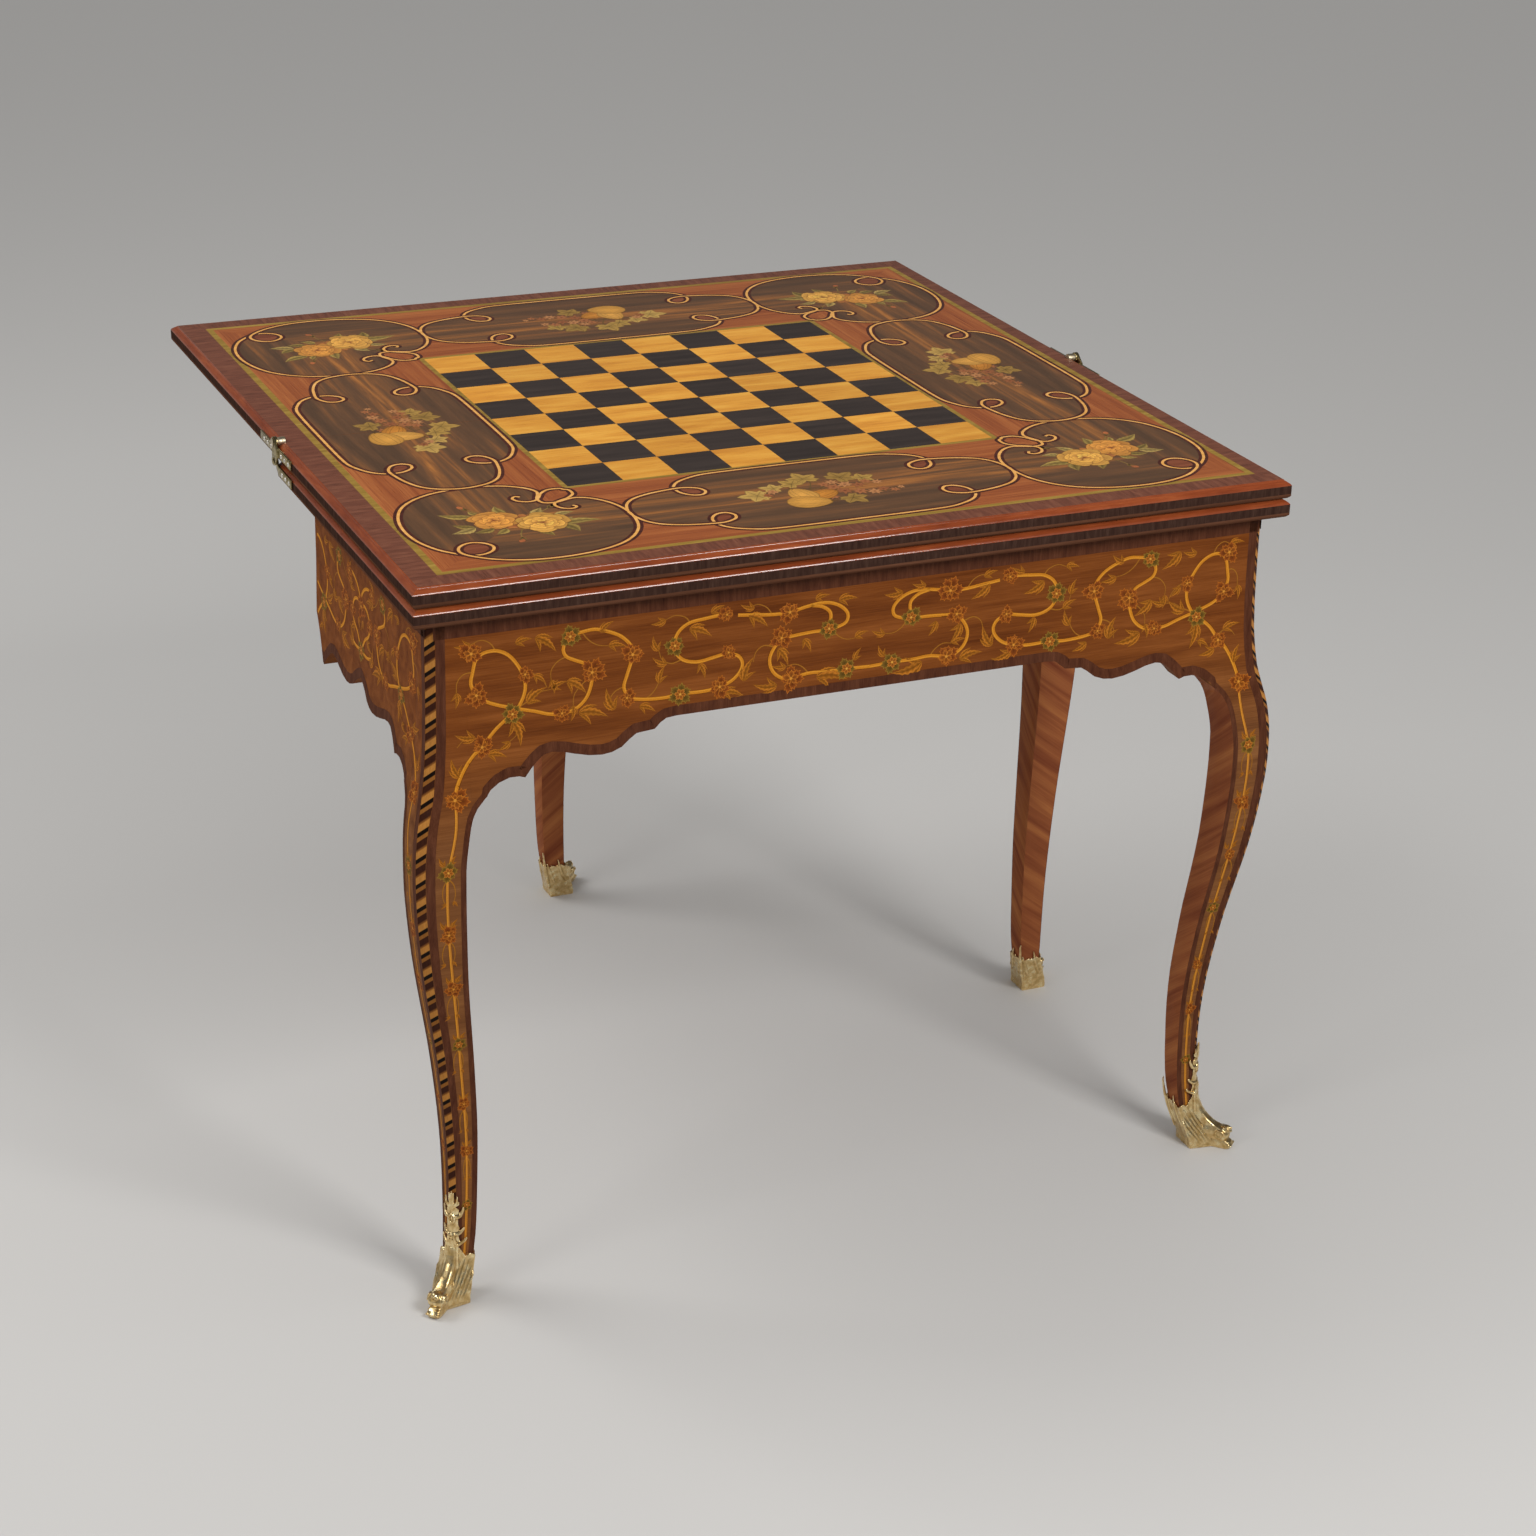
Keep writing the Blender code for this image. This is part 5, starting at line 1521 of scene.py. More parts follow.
def tendril(panel, points):
    """A thin shoot that thins out to its tip."""
    line = in_metres(smooth_line(points, step=2.4))
    panel.strip(line, lambda share, point: (1.35 - 0.7 * share) * MM, 0.10 * MM, colour("#9A6422"))


def leaf_spray(panel, x, z, degrees, length):
    """A spray of three slender leaves from one stalk."""
    for turn, share, lift in ((30, 0.80, 0.108), (-33, 0.74, 0.111), (0, 1.22, 0.116)):
        angle = math.radians(degrees + turn)
        leaf(panel, spot(x, z), angle, length * share * MM, length * share * 0.31 * MM, lift * MM,
             "#C87C28", 0.30)


def ragged_petal(panel, root, angle, length, width, lift, body, rim):
    """A pointed petal with a notched edge, engraved along its middle."""
    outline = []
    for along, across in (
            (0.0, 0.0), (0.30, 0.26), (0.55, 0.50), (0.66, 0.34), (0.84, 0.42), (0.82, 0.18), (1.06, 0.0),
            (0.82, -0.18), (0.84, -0.42), (0.66, -0.34), (0.55, -0.50), (0.30, -0.26)):
        outline.append(turned((along * length, across * width), root, angle))
    heart = turned((length * 0.58, 0), root, angle)

    def shade(point):
        away = math.hypot(point[0] - root[0], point[1] - root[1]) / length
        return colour(body, 0.5 + 0.6 * min(1.0, away))

    panel.fan(outline, heart, lift, rim, shade, colour(body, 0.55), 0.74)


def flower_eye(panel, centre, radius, sides, lift, rim, code):
    """The small round eye of a flower."""
    ring = [turned((radius, 0), centre, math.tau * step / sides) for step in range(sides)]
    panel.fan(ring, centre, lift, colour(rim), colour(code))


def orange_flower(panel, x, z, size):
    """A ragged orange flower of two rings of notched petals with a bright eye."""
    centre = spot(x, z)
    level = 0.125 * MM
    turn = x * 0.37
    for count, share, body, rim in ((7, 1.20, "#86451A", "#BC7024"), (5, 0.76, "#9C5820", "#CC802C")):
        for index in range(count):
            angle = turn + math.tau * index / count + 0.45 * (random.random() - 0.5)
            length = size * share * (0.72 + 0.52 * random.random()) * MM
            ragged_petal(panel, centre, angle, length, length * 0.74, level, body, colour(rim))
            level += PETAL_STEP
        turn += 0.4
    flower_eye(panel, centre, size * 0.17 * MM, 7, level + 0.002 * MM, "#5A2A0E", "#CC8A34")


def green_star(panel, x, z, size):
    """A green-stained flower with a small orange flower for its eye."""
    centre = spot(x, z)
    level = 0.122 * MM
    turn = x * 0.53
    for index in range(6):
        angle = turn + math.tau * index / 6
        length = size * 1.10 * (0.80 + 0.34 * random.random()) * MM
        ragged_petal(panel, centre, angle, length, length * 0.8, level, "#725621", colour("#9C782E"))
        level += PETAL_STEP
    for index in range(6):
        angle = turn + 0.5 + math.tau * index / 6
        ragged_petal(panel, centre, angle, size * 0.6 * MM, size * 0.46 * MM, level, "#AC6424",
                     colour("#CC8A34"))
        level += PETAL_STEP
    flower_eye(panel, centre, size * 0.14 * MM, 6, level + 0.002 * MM, "#6E3C14", "#D49A40")


def across_front(point):
    """A point of the left half carried over to the right half of the front."""
    x, z = point
    shift = 8.0 * within((410.0 + x) / 40.0)
    return (-x + shift, z)


def front_scrolls():
    """Scrolling stems with flowers and leaves over the whole front."""
    panel = Marquetry()
    for lines, draw in ((APRON_STEMS, scroll_stem), (APRON_TENDRILS, tendril)):
        for points in lines:
            draw(panel, points)
            draw(panel, [across_front(point) for point in points])
    for x, z, degrees, length in APRON_LEAVES:
        leaf_spray(panel, x, z, degrees, length)
        leaf_spray(panel, *across_front((x, z)), 180 - degrees, length)
    for flowers, draw in ((ORANGE_FLOWERS, orange_flower), (GREEN_FLOWERS, green_star)):
        for x, z, size in flowers:
            draw(panel, x, z, size)
            draw(panel, *across_front((x, z)), size)
    return panel


# The front's end group of scrolls, which the sides repeat: where the front ends, and the group's width
END_OF_FRONT = 435.5
END_GROUP = 182


def side_scrolls(start, end):
    """The side's scrolls between start and end: the front's end group at both ends and a middle motif."""
    panel = Marquetry()

    def carry(point, far):
        u = point[0] + END_OF_FRONT
        return (SIDE_LENGTH - u, point[1]) if far else (u, point[1])

    def inside(point, margin=0.0):
        return start + margin <= point[0] <= end - margin

    def stems(points, draw):
        run = []
        for point in smooth_line(points, step=3.0):
            if inside(point):
                run.append(point)
            elif run:
                break
        if len(run) > 2:
            draw(panel, run)

    for far in (False, True):
        for lines, draw in ((APRON_STEMS, scroll_stem), (APRON_TENDRILS, tendril)):
            for points in lines:
                if max(point[0] for point in points) + END_OF_FRONT < END_GROUP:
                    stems([carry(point, far) for point in points], draw)
        for x, z, degrees, length in APRON_LEAVES:
            place = carry((x, z), far)
            if x + END_OF_FRONT < END_GROUP and inside(place, length):
                leaf_spray(panel, *place, 180 - degrees if far else degrees, length)
        for flowers, draw in ((ORANGE_FLOWERS, orange_flower), (GREEN_FLOWERS, green_star)):
            for x, z, size in flowers:
                place = carry((x, z), far)
                if x + END_OF_FRONT < END_GROUP and inside(place, size):
                    draw(panel, *place, size)
    for points in SIDE_STEMS:
        stems(points, scroll_stem)
    for x, z, degrees, length in ((190, 636, -150, 16), (228, 636, -30, 16), (176, 672, 120, 16),
                                  (241, 672, 60, 16), (200, 650, -60, 12), (217, 650, -120, 12)):
        if inside((x, z), length):
            leaf_spray(panel, x, z, degrees, length)
    for x, z, size in ((208, 663, 10), (172, 687, 8), (246, 687, 8), (180, 652, 7), (237, 652, 7)):
        if inside((x, z), size):
            orange_flower(panel, x, z, size)
    if inside((208.7, 618), 10):
        green_star(panel, 208.7, 618, 10)
    return panel


LEG_FLOWERS = (
    (548, 10, "orange"), (481, 9, "green"), (416, 8, "orange"), (355, 7, "orange"), (289, 7, "green"),
    (218, 6, "orange"), (163, 6, "orange"), (102, 6, "green"),
)


# The legs' stems, in millimetres: their foot and their tops. At the knee they swing out to the apron.
STEM_FOOT = 46
STEM_TOP = 548
BACK_STEM_TOP = 690
KNEE_START = 0.470
KNEE_RUN = 0.078
KNEE_PLACE = -19.5 * MM


def light_field(height):
    """Middle and half width of a leg face's light field, outwards from the frame's corner."""
    outer = reach(height) - corner_cut(height) - beside_rope(height)
    inner = -depth_inside(min(height, POST_BASE)) + LEG_BAND
    return (outer + inner) / 2, (outer - inner) / 2


def leg_stem(panel, flip, offset, top):
    """The stem down one face of a leg. flip and offset turn outwards into the face's own distance."""
    def across(height, share=0.0):
        middle, half = light_field(height)
        if top == STEM_TOP:
            knee = within((height - KNEE_START) / KNEE_RUN)
            middle += (KNEE_PLACE - middle) * knee * knee * (3 - 2 * knee)
        return (offset + flip * (middle + half * share)) / MM

    heights = [STEM_FOOT + (top - STEM_FOOT) * step / 48 for step in range(49)]
    line = [(across(z * MM, 0.06 * math.sin(z / 31.0)), z) for z in heights]
    scroll_stem(panel, line, width=2.6, code="#B4762E")
    for z, size, kind in LEG_FLOWERS:
        x = across(z * MM, 0.06 * math.sin(z / 31.0))
        draw = orange_flower if kind == "orange" else green_star
        draw(panel, x, z, size)
        if 120 < z < 520:
            span = min(11.0, light_field(z * MM)[1] / MM)
            for side in (-1, 1):
                shoot = [(x, z - 6), (x + side * span * 0.45, z - 13), (x + side * span * 0.55, z - 24),
                         (x + side * span * 0.3, z - 33)]
                tendril(panel, shoot)
                leaf_spray(panel, x + side * span * 0.25, z + 7, 90 - side * 32, min(12.0, span * 0.85))
                leaf_spray(panel, x + side * span * 0.3, z - 30, -90 + side * 40, min(9.0, span * 0.6))


def scrolls():
    """All the scrollwork of the frame, with the stems of every leg."""
    full = SIDE_LENGTH * MM
    joint = GATE_JOINT / MM
    for name, span, stems, surface, body, slot in (
            ("front", None, ((-1, -FRAME_SIDE), (1, FRAME_SIDE)), on_front, "frame", "apron"),
            ("right", (0, SIDE_LENGTH), ((-1, 0.0), (1, full)), on_right, "frame", "apron"),
            ("left", (0, joint - 4), ((-1, 0.0),), on_left, "frame", "apron"),
            ("swing_leg", (joint + 2, SIDE_LENGTH), ((1, full),), on_closed_left, "swing_leg", "leg")):
        panel = side_scrolls(*span) if span else front_scrolls()
        for flip, offset in stems:
            leg_stem(panel, flip, offset, STEM_TOP)
        settle(panel.lay(name + "_scrolls", surface, CUTWORK_UPRIGHT), body, slot)
    for label in ("back_right", "gate"):
        panel = Marquetry()
        leg_stem(panel, 1, 0.0, BACK_STEM_TOP)
        piece = panel.lay(label + "_back_scrolls", back_face(label), CUTWORK_UPRIGHT)
        settle(piece, own(label, "leg")[1], "leg")


# Gilt sabots, modelled once in the plan of a leg's corner and set down at each foot.
# Places are (outwards along X, outwards along Y, height) from the frame's corner.


def over_diagonal(out, across, height):
    """A point in millimetres beyond the corner, shifted across its diagonal."""
    return Vector((out + across / ROOT, out - across / ROOT, height)) * MM


def round_corner(across, height, lift):
    """A point in millimetres on the leg's skin, measured round the rope band's chamfer."""
    cut = corner_cut(height * MM) / MM
    face = reach(height * MM) / MM
    half = cut / ROOT
    if abs(across) <= half:
        middle = face - cut / 2 + lift / ROOT
        point = Vector((middle + across / ROOT, middle - across / ROOT, height))
    else:
        point = Vector((face + lift, face - cut - (abs(across) - half), height))
        if across < 0:
            point = Vector((point.y, point.x, height))
    return point * MM


def rod(points, radii, sides=9):
    """A rod of the sabot, of changing thickness along points."""
    rings = []
    count = len(points)
    side = None
    for index, point in enumerate(points):
        before = points[max(0, index - 1)]
        after = points[min(count - 1, index + 1)]
        along = (after - before).normalized()
        if side is None:
            side = along.orthogonal().normalized()
        side = (side - along * side.dot(along)).normalized()
        other = along.cross(side)
        radius = radii[index] * MM
        rings.append([
            point + (side * math.cos(math.tau * step / sides) + other * math.sin(
                math.tau * step / sides)) * radius for step in range(sides)])
    return drawn_out("sabot_rod", rings)


def taper(count, start, middle, end):
    """Radii that swell from start to middle and fall to end."""
    radii = []
    for index in range(count):
        share = index / (count - 1)
        radii.append(start + (middle - start) * share * 2 if share < 0.5
                     else middle + (end - middle) * (share - 0.5) * 2)
    return radii


# The sabot's wall: its height, and how far it flares from the leg's section at shares of that height
SABOT_HEIGHT = 44 * MM
FLARES = ((0.0, 0.93), (0.08, 1.0), (0.28, 0.84), (0.52, 0.44), (0.75, 0.16), (1.0, 0.0))


def shell_ring(share):
    """One ring of the sabot's wall, seen from above: from the foot's own plan up to the leg's section."""
    flare = read_at(FLARES, share)
    height = SABOT_HEIGHT * share
    face = reach(height) + 2.3 * MM
    cut = corner_cut(height)
    heel = -depth_inside(height) - 2.3 * MM
    front = reach(0.008) + 17.5 * MM
    base = reach(0.008) + 12.5 * MM
    wall = [(face, face - cut), (face - cut, face), (heel, face), (heel, heel), (face, heel)]
    plan = [(front, front - 4 * MM), (front - 4 * MM, front), (heel, base), (heel, heel), (base, heel)]
    return [(u[0] + (p[0] - u[0]) * flare, u[1] + (p[1] - u[1]) * flare) for p, u in zip(plan, wall)]


def shell_point(turn, share, lift=0.0):
    """A point of the sabot's wall: turn goes from the front (0) round to the front again (1)."""
    ring = shell_ring(share)
    front = ((ring[0][0] + ring[1][0]) / 2, (ring[0][1] + ring[1][1]) / 2)
    path = [front, ring[1], ring[2], ring[3], ring[4], ring[0], front]
    lengths = [math.dist(first, second) for first, second in zip(path, path[1:])]
    left = (turn % 1.0) * sum(lengths)
    for first, second, length in zip(path, path[1:], lengths):
        if left <= length:
            part = left / length
            x = first[0] + (second[0] - first[0]) * part
            y = first[1] + (second[1] - first[1]) * part
            out = Vector((second[1] - first[1], first[0] - second[0])).normalized() * -lift
            return Vector((x + out.x, y + out.y, SABOT_HEIGHT * share))
        left -= length
    return Vector((front[0], front[1], SABOT_HEIGHT * share))


def sabot_wall():
    """The fluted wall of the sabot with its scalloped upper edge."""
    count = 96
    rings = []
    for share in (0.0, 0.05, 0.12, 0.2, 0.3, 0.4, 0.5, 0.6, 0.7, 0.8, 0.9, 1.0):
        ring = []
        for index in range(count):
            turn = index / count
            near = min(turn, 1 - turn)
            scallop = 0.10 * abs(math.cos(math.pi * turn * 10))
            rise = 1 + share * (0.42 * math.exp(-(near / 0.10) ** 2) + scallop)
            flute = 0.18 * MM * math.cos(math.tau * turn * 16) * (0.3 + 0.7 * share)
            point = shell_point(turn, share * rise, flute)
            ring.append(point)
        rings.append(ring)
    return drawn_out("sabot_wall", rings)


def sabot_toe():
    """The toe, drawn up from the floor: a roll, a scroll over it and the sweep into the rib."""
    sections = ((0, 15.2, 6.2), (1.0, 16.4, 7.0), (3.0, 17.2, 7.4), (5.6, 17.2, 7.3), (8.0, 16.0, 6.8),
                (9.6, 13.4, 6.3), (11.4, 13.6, 7.4), (14.0, 14.6, 8.3), (17.0, 14.4, 8.5), (20.0, 13.0, 8.1),
                (22.2, 10.8, 7.4), (24.0, 7.6, 6.7), (25.6, 4.4, 6.2), (28.0, 1.4, 6.0), (32.0, -2.4, 6.0),
                (37.0, -5.8, 6.0), (43.0, -8.8, 5.8), (50.0, -11.0, 5.6), (58.0, -12.8, 5.2))
    rings = []
    for height, front, half in sections:
        back = min(-13.0, front - 6)
        ring = []
        for step in range(13):
            angle = math.pi * (step / 12 - 0.5)
            bulge = abs(math.cos(angle)) ** 0.7
            ring.append(over_diagonal(front - half * 0.55 * (1 - bulge), half * math.sin(angle), height))
        ring += [over_diagonal(back, across, height) for across in (half, 0, -half)]
        rings.append(ring)
    return drawn_out("sabot_toe", rings)


def sabot_rib():
    """The leaf's body up the leg's corner, widening at its curls."""
    widths = ((14, 7.0), (24, 7.2), (34, 7.0), (46, 6.6), (58, 6.6), (64, 7.6), (68, 6.4), (74, 6.4),
              (78, 7.2), (82, 5.8), (90, 5.6), (96, 6.4), (99, 6.6), (102, 3.6), (107, 2.8), (111, 2.0),
              (115, 1.2))
    rings = []
    for height, half in widths:
        lift = 2.6 if height < 60 else 2.2
        ring = []
        for share in (-1.0, -0.72, -0.4, 0.0, 0.4, 0.72, 1.0):
            hollow = 0.9 if abs(share) < 0.5 and 26 < height < 68 else 0.0
            ring.append(round_corner(share * half, height, lift * (1 - 0.35 * share ** 2) - hollow))
        for share in (0.7, 0.0, -0.7):
            ring.append(round_corner(share * half, height, -2.0))
        rings.append(ring)
    return drawn_out("sabot_rib", rings)


def sabot_rods():
    """Borders, horns, palmette, flutes, curls and bosses of the sabot."""
    rods = []
    for side in (-1, 1):
        border = [round_corner(side * across, height, lift) for across, height, lift in (
            (4.2, 20, 3.6), (4.6, 28, 3.4), (4.6, 38, 3.2), (4.4, 48, 3.0), (4.4, 58, 3.0), (3.8, 66, 3.0),
            (2.2, 70.5, 3.2), (0.2, 72, 3.4))]
        rods.append((border, taper(len(border), 1.5, 1.3, 1.0)))
        for height, reach_out, rise, thick in (
                (95, 10.5, 6.5, 1.8), (76, 11.5, 3.0, 1.6), (64, 14.0, 3.5, 1.6)):
            horn = [round_corner(side * across, height + up, lift) for across, up, lift in (
                (3.0, -4.0, 1.6), (5.2, -3.6, 1.9), (7.2, -2.6, 1.9), (reach_out - 1.8, 0.0, 1.8),
                (reach_out - 0.4, rise * 0.55, 2.0), (reach_out, rise, 2.4))]
            rods.append((horn, [thick * 1.1, thick * 1.25, thick * 1.2, thick, thick * 0.8, thick * 0.5]))
        for spread, tip, thick in ((1.9, 118.5, 1.0), (3.6, 114.5, 1.0), (4.9, 108.5, 0.95)):
            frond = [round_corner(side * across, height, lift) for across, height, lift in (
                (0.5, 99, 2.0), (spread * 0.7, 103, 2.5), (spread * 1.1, (103 + tip) / 2, 2.7),
                (spread * 1.2, tip, 2.6))]
            rods.append((frond, [thick, thick * 1.15, thick * 1.05, thick * 0.6]))
        for step in range(6):
            start = 0.045 + 0.030 * step
            end = 0.070 + 0.040 * step
            flute = []
            for part in range(9):
                share = part / 8
                turn = start + (end - start) * share
                flute.append(shell_point(side * turn, 0.10 + (1.16 - 0.07 * step - 0.10) * share, 0.7 * MM))
            rods.append((flute, taper(9, 1.0, 1.5, 0.9)))
        foot = [shell_point(side * turn, 0.04, 0.6 * MM)
                for turn in (0.04, 0.08, 0.12, 0.16, 0.20, 0.24, 0.28)]
        rods.append((foot, taper(7, 1.2, 1.5, 1.0)))
        for turn, tip in ((0.30, 1.28), (0.43, 1.18)):
            leaf_tip = [shell_point(side * (turn + 0.006 * part), 0.5 + (tip - 0.5) * part / 6,
                                    (0.3 + (0.9 if part == 6 else 0.0)) * MM) for part in range(7)]
            rods.append((leaf_tip, [1.1, 1.5, 1.7, 1.6, 1.4, 1.1, 0.7]))
        volute = []
        for step in range(15):
            angle = step / 14 * math.tau * 1.15
            radius = 6.2 - 0.33 * step
            volute.append(over_diagonal(7.4 + radius * math.cos(angle) / ROOT, side * 8.3,
                                        16.2 + radius * math.sin(angle)))
        rods.append((volute, taper(15, 1.1, 1.1, 0.8)))
    spine = [round_corner(0, height, 2.6) for height in (22, 32, 42, 52, 62, 68)]
    rods.append((spine, [1.0, 1.0, 0.95, 0.9, 0.85, 0.7]))
    heel = [shell_point(0.5, share, 0.3 * MM) for share in (0.3, 0.6, 0.9, 1.15, 1.35, 1.5)]
    heel.append(shell_point(0.5, 1.58, 1.6 * MM))
    rods.append((heel, [1.2, 1.7, 1.8, 1.6, 1.3, 1.0, 0.7]))
    plume = [round_corner(0, height, 2.2) for height in (98, 103, 110, 117, 120)]
    rods.append((plume, [1.2, 1.2, 1.15, 0.95, 0.5]))
    for height, wide, tall in ((89, 3.2, 5.0), (70.5, 2.6, 2.6)):
        ring = [round_corner(wide * math.cos(angle), height + tall * math.sin(angle), 2.7)
                for angle in (math.tau * step / 14 for step in range(15))]
        rods.append((ring, [0.9] * 15))
        boss = [round_corner(0, height, lift) for lift in (0.5, 2.2, 3.2)]
        rods.append((boss, [wide * 0.62, wide * 0.5, wide * 0.2]))
    knob = [over_diagonal(out, 0, height)
            for out, height in ((6.0, 17.0), (9.6, 20.2), (11.8, 22.0), (13.6, 23.4), (14.6, 24.2))]
    rods.append((knob, [5.6, 5.8, 5.2, 3.6, 1.6]))
    eye = [over_diagonal(out, 0, height) for out, height in ((13.4, 22.6), (15.2, 24.0), (15.9, 24.6))]
    rods.append((eye, [1.9, 1.6, 0.7]))
    ring = [over_diagonal(13.4 - 2.2 * math.sin(angle), 3.6 * math.cos(angle), 22.4 + 2.6 * math.sin(angle))
            for angle in (math.tau * step / 14 for step in range(15))]
    rods.append((ring, [0.8] * 15))
    for step in range(7):
        across = (step - 3) * 2.1
        bead = [over_diagonal(out, across, height) for out, height in ((15.2, 4.2), (17.0, 4.6), (17.7, 4.8))]
        rods.append((bead, [1.25, 1.15, 0.5]))
    return [rod(points, radii) for points, radii in rods]


def hollows(piece):
    """Write how deep each point lies in the casting: 0 on a ridge, 1 in a hollow."""
    shape = bmesh.new()
    shape.from_mesh(piece.data)
    values = []
    for vertex in shape.verts:
        total = 0.0
        for edge in vertex.link_edges:
            away = edge.other_vert(vertex).co - vertex.co
            total += away.normalized().dot(vertex.normal)
        values.append(total / max(1, len(vertex.link_edges)))
    for _ in range(2):
        values = [(values[vertex.index] + sum(
            values[edge.other_vert(vertex).index] for edge in vertex.link_edges))
            / (1 + len(vertex.link_edges)) for vertex in shape.verts]
    shape.free()
    layer = piece.data.color_attributes.new("hollow", "FLOAT_COLOR", "POINT")
    for index, value in enumerate(values):
        depth = within(0.5 + value * 2.6)
        layer.data[index].color = (depth, depth, depth, 1.0)


def sabots():
    """Cast the sabot once, then set a copy down at each foot."""
    parts = [sabot_wall(), sabot_toe(), sabot_rib()] + sabot_rods()
    clear_selection()
    for part in parts:
        part.select_set(True)
    bpy.context.view_layer.objects.active = parts[0]
    bpy.ops.object.join()
    cast = bpy.context.object
    cast.name = "sabot_cast"
    finish_with(cast, "REMESH", mode="VOXEL", voxel_size=0.5 * MM, adaptivity=0.0)
    finish_with(cast, "SMOOTH", factor=0.5, iterations=2)
    hollows(cast)
    cast.data.materials.clear()
    cast.data.materials.append(GILT)
    for label, place in LEGS.items():
        node_name, body = own(label, "sabot")
        piece = new_piece(node_name + "_cast", cast.data.copy())
        for vertex in piece.data.vertices:
            point = place(*vertex.co)
            vertex.co = (point[0], point[1], max(0.0, point[2]))
        open_up(piece)
        bpy.ops.mesh.normals_make_consistent(inside=False)
        bpy.ops.object.mode_set(mode="OBJECT")
        bpy.ops.object.shade_smooth()
        settle(piece, body, "gilt", node_name)
    bpy.data.objects.remove(cast, do_unlink=True)


# Hinges, screws and the plain timbers

def screw(name, place, side, body):
    """A slotted raised-head screw: a domed head with its slot cut across, facing the side's way along X."""
    radius = 2.2 * MM
    clear_selection()
    bpy.ops.mesh.primitive_cylinder_add(vertices=20, radius=radius, depth=0.9 * MM, location=(0, 0, 0))
    piece = bpy.context.object
    piece.name = name
    bpy.ops.object.mode_set(mode="EDIT")
    mesh = bmesh.from_edit_mesh(piece.data)
    for face in mesh.faces:
        face.select = face.normal.z > 0.9
    bmesh.update_edit_mesh(piece.data)
    for share, rise in ((0.10, 0.36), (0.16, 0.30), (0.20, 0.20), (0.20, 0.10)):
        bpy.ops.mesh.inset(thickness=radius * share)
        bpy.ops.transform.translate(value=(0, 0, rise * MM))
    bpy.ops.object.mode_set(mode="OBJECT")
    bpy.ops.mesh.primitive_cube_add(size=1, location=(0, 0, 1.45 * MM))
    slit = bpy.context.object
    slit.scale = (radius * 2.4, radius * 0.22, 0.8 * MM)
    finish_with(piece, "BOOLEAN", operation="DIFFERENCE", solver="EXACT", object=slit)
    bpy.data.objects.remove(slit, do_unlink=True)
    piece.rotation_mode = "QUATERNION"
    piece.rotation_quaternion = Vector((side, 0, 0)).to_track_quat("Z", "Y")
    piece.location = place
    set_down(piece)
    piece.data.materials.clear()
    # The head's pale steel is a painted highlight.
    piece.data.materials.append(STEEL_PAINTED_HIGHLIGHT)
    smooth_under(piece, 40)
    settle(piece, body, "hinge_brass")


def hinges():
    """Strap hinges on the leaves' ends with screws whose pale heads carry a painted highlight, and the iron
    butts of the swing leg.
    """
    for side, label in ((-1, "left"), (1, "right")):
        for part, body in (("bottom", "frame"), ("middle", "frame"), ("top", "top_leaf"),
                           ("upper_pin", "frame"), ("lower_pin", "frame")):
            node_name = "hinge_%s_%s" % (label, part)
            piece = faced_copy(node_name, node_name + "_finished")
            # The upper knuckle's paler brass is a painted highlight.
            piece.data.materials.append(KNUCKLE_PAINTED_HIGHLIGHT if part == "upper_pin" else BRASS)
            if part == "upper_pin":
                swell = Vector((0.72, 1.2, 1.2))
                low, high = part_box(node_name)
                centre = Vector((side * max(abs(low[0]), abs(high[0])), SEAM, (low[2] + high[2]) / 2))
                piece.scale = swell
                piece.location = centre - centre * swell
                set_down(piece)
            soften(piece, 0.28 * MM)
            settle(piece, body, "hinge_brass", node_name)
        low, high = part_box("hinge_%s_top" % label)
        plate = side * max(abs(low[0]), abs(high[0]))
        upper = low[2] + 4.5 * MM
        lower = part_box("hinge_%s_bottom" % label)[0][2] + 4.5 * MM
        for part, body, height, places in (("top", "top_leaf", upper, (14, 27, 40)),
                                           ("middle", "frame", upper, (-24, -37, -50)),
                                           ("bottom", "frame", lower, (-24, -37, -50))):
            for index, y in enumerate(places):
                screw("hinge_%s_%s_screw_%d" % (label, part, index),
                      (plate, SEAM + y * MM, height), side, body)
    for part, body in (("fixed", "frame"), ("swing", "swing_leg"), ("pin", "frame")):
        for level in ("upper", "lower"):
            dress("butt_%s_%s" % (level, part), IRON)


def timbers():
    """The oak inside, the aprons' veneer and the swing leg's rail."""
    for name in ("back_rail_inner", "back_rail_outer", "rail_spacer_middle", "rail_spacer_right",
                 "front_batten_left", "front_batten_right"):
        dress(name, CARCASE)
    for name in ("cross_brace", "side_batten_left", "side_batten_right", "gate_rail"):
        dress(name, CARCASE_UP)
    for name in ("front_apron", "left_apron", "right_apron", "gate_leg_ear"):
        dress(name, APRON_GROUND)


def build_camera():
    """The camera at the photograph's viewing angle: a long lens from the front left, looking down."""
    lens = bpy.data.cameras.new("camera")
    lens.sensor_width = 36.0
    lens.lens = 73.77
    holder = new_piece("camera", lens)
    right = Vector((0.91891, -0.39396, 0.01996))
    down = Vector((-0.14149, -0.37642, -0.91558))
    ahead = Vector((0.36822, 0.83851, -0.40164))
    turn = holder.matrix_world.copy()
    for row in range(3):
        turn[row][0] = right[row]
        turn[row][1] = -down[row]
        turn[row][2] = -ahead[row]
    turn.translation = Vector((-1.2084, -2.9640 + SEAM, 1.7381))
    holder.matrix_world = turn
    bpy.context.scene.camera = holder


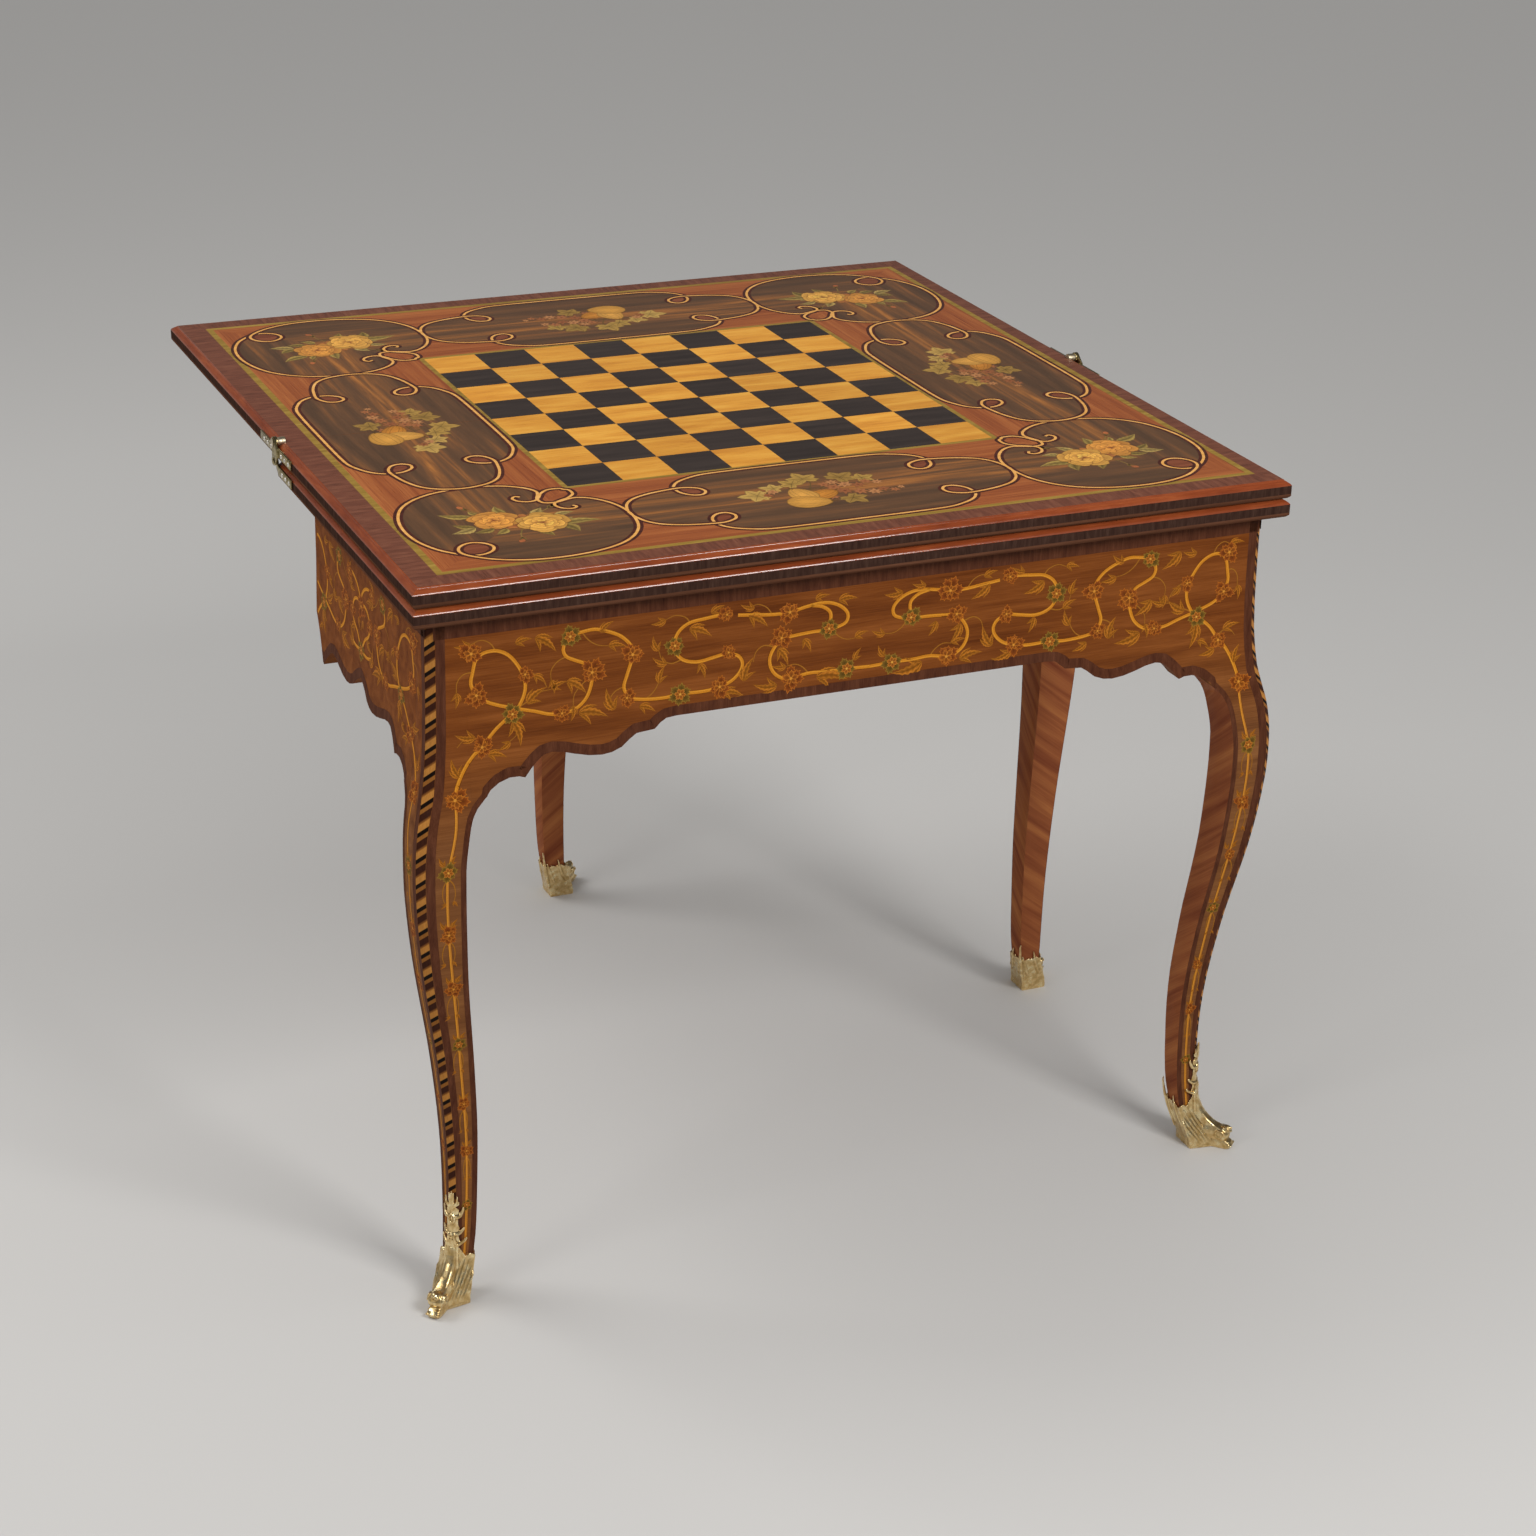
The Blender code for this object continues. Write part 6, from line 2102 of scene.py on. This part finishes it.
def softbox(name, place, aim, size, power):
    """A square lamp that points at a place."""
    lamp = bpy.data.lights.new(name, "AREA")
    lamp.shape = "SQUARE"
    lamp.size = size
    lamp.energy = power
    holder = new_piece(name, lamp)
    holder.location = place
    holder.rotation_euler = (Vector(aim) - Vector(place)).to_track_quat("-Z", "Y").to_euler()


def build_stage():
    """A plain pale floor, a pale surround and soft light from the upper left."""
    clear_selection()
    bpy.ops.mesh.primitive_plane_add(size=80, location=(0, 0, 0))
    floor = bpy.context.object
    floor.name = "floor"
    made, tree, shader = blank("pale studio floor, matt paint")
    feed(tree, shader, {"Base Color": colour("#C6C4C1"), "Roughness": 0.8, "Specular IOR Level": 0.2})
    floor.data.materials.append(made)
    world = bpy.data.worlds.new("studio")
    bpy.context.scene.world = world
    world.use_nodes = True
    tree = world.node_tree
    tree.nodes.clear()
    path = node(tree, "ShaderNodeLightPath")
    heading = node(tree, "ShaderNodeTexCoord").outputs["Generated"]
    height = node(tree, "ShaderNodeSeparateXYZ", {"Vector": heading}).outputs["Z"]
    sky = node(tree, "ShaderNodeValToRGB", {"Fac": height}, toned(
        ("#989795", "#5A5A5C", "#3C3C3E"), (0.0, 0.24, 0.9))).outputs["Color"]
    fill = node(tree, "ShaderNodeBackground", {"Color": PLAIN, "Strength": 0.53})
    seen = node(tree, "ShaderNodeBackground", {"Color": sky, "Strength": 1.0})
    glossy = node(tree, "ShaderNodeMath", {
        0: path.outputs["Is Camera Ray"], 1: path.outputs["Is Glossy Ray"]}, operation="MAXIMUM")
    clear = node(tree, "ShaderNodeMath", {
        0: glossy.outputs[0], 1: path.outputs["Is Transmission Ray"]}, operation="MAXIMUM")
    mix = node(tree, "ShaderNodeMixShader", {0: clear.outputs[0], 1: fill.outputs[0], 2: seen.outputs[0]})
    node(tree, "ShaderNodeOutputWorld", {"Surface": mix.outputs[0]})
    softbox("key lamp", (-1.9, 1.1, 2.9), (0, 0, 0.5), 1.4, 35)
    softbox("front lamp", (0.9, -2.9, 2.7), (0, 0, 0.6), 1.1, 72)
    softbox("left lamp", (-2.9, -1.3, 1.8), (0, 0, 0.45), 1.0, 14)


build_camera()
build_stage()
leaves()
top_inlay()
for leg_label in LEGS:
    leg(leg_label)
front_face()
side_face("right", on_right, "right_apron", 0)
side_face("left", on_left, "left_apron", GATE_JOINT - 0.3 * MM)
gate_face()
back_face_bands("back_right")
back_face_bands("gate")
scrolls()
sabots()
hinges()
timbers()

view = bpy.context.scene.view_settings
view.view_transform = "Standard"
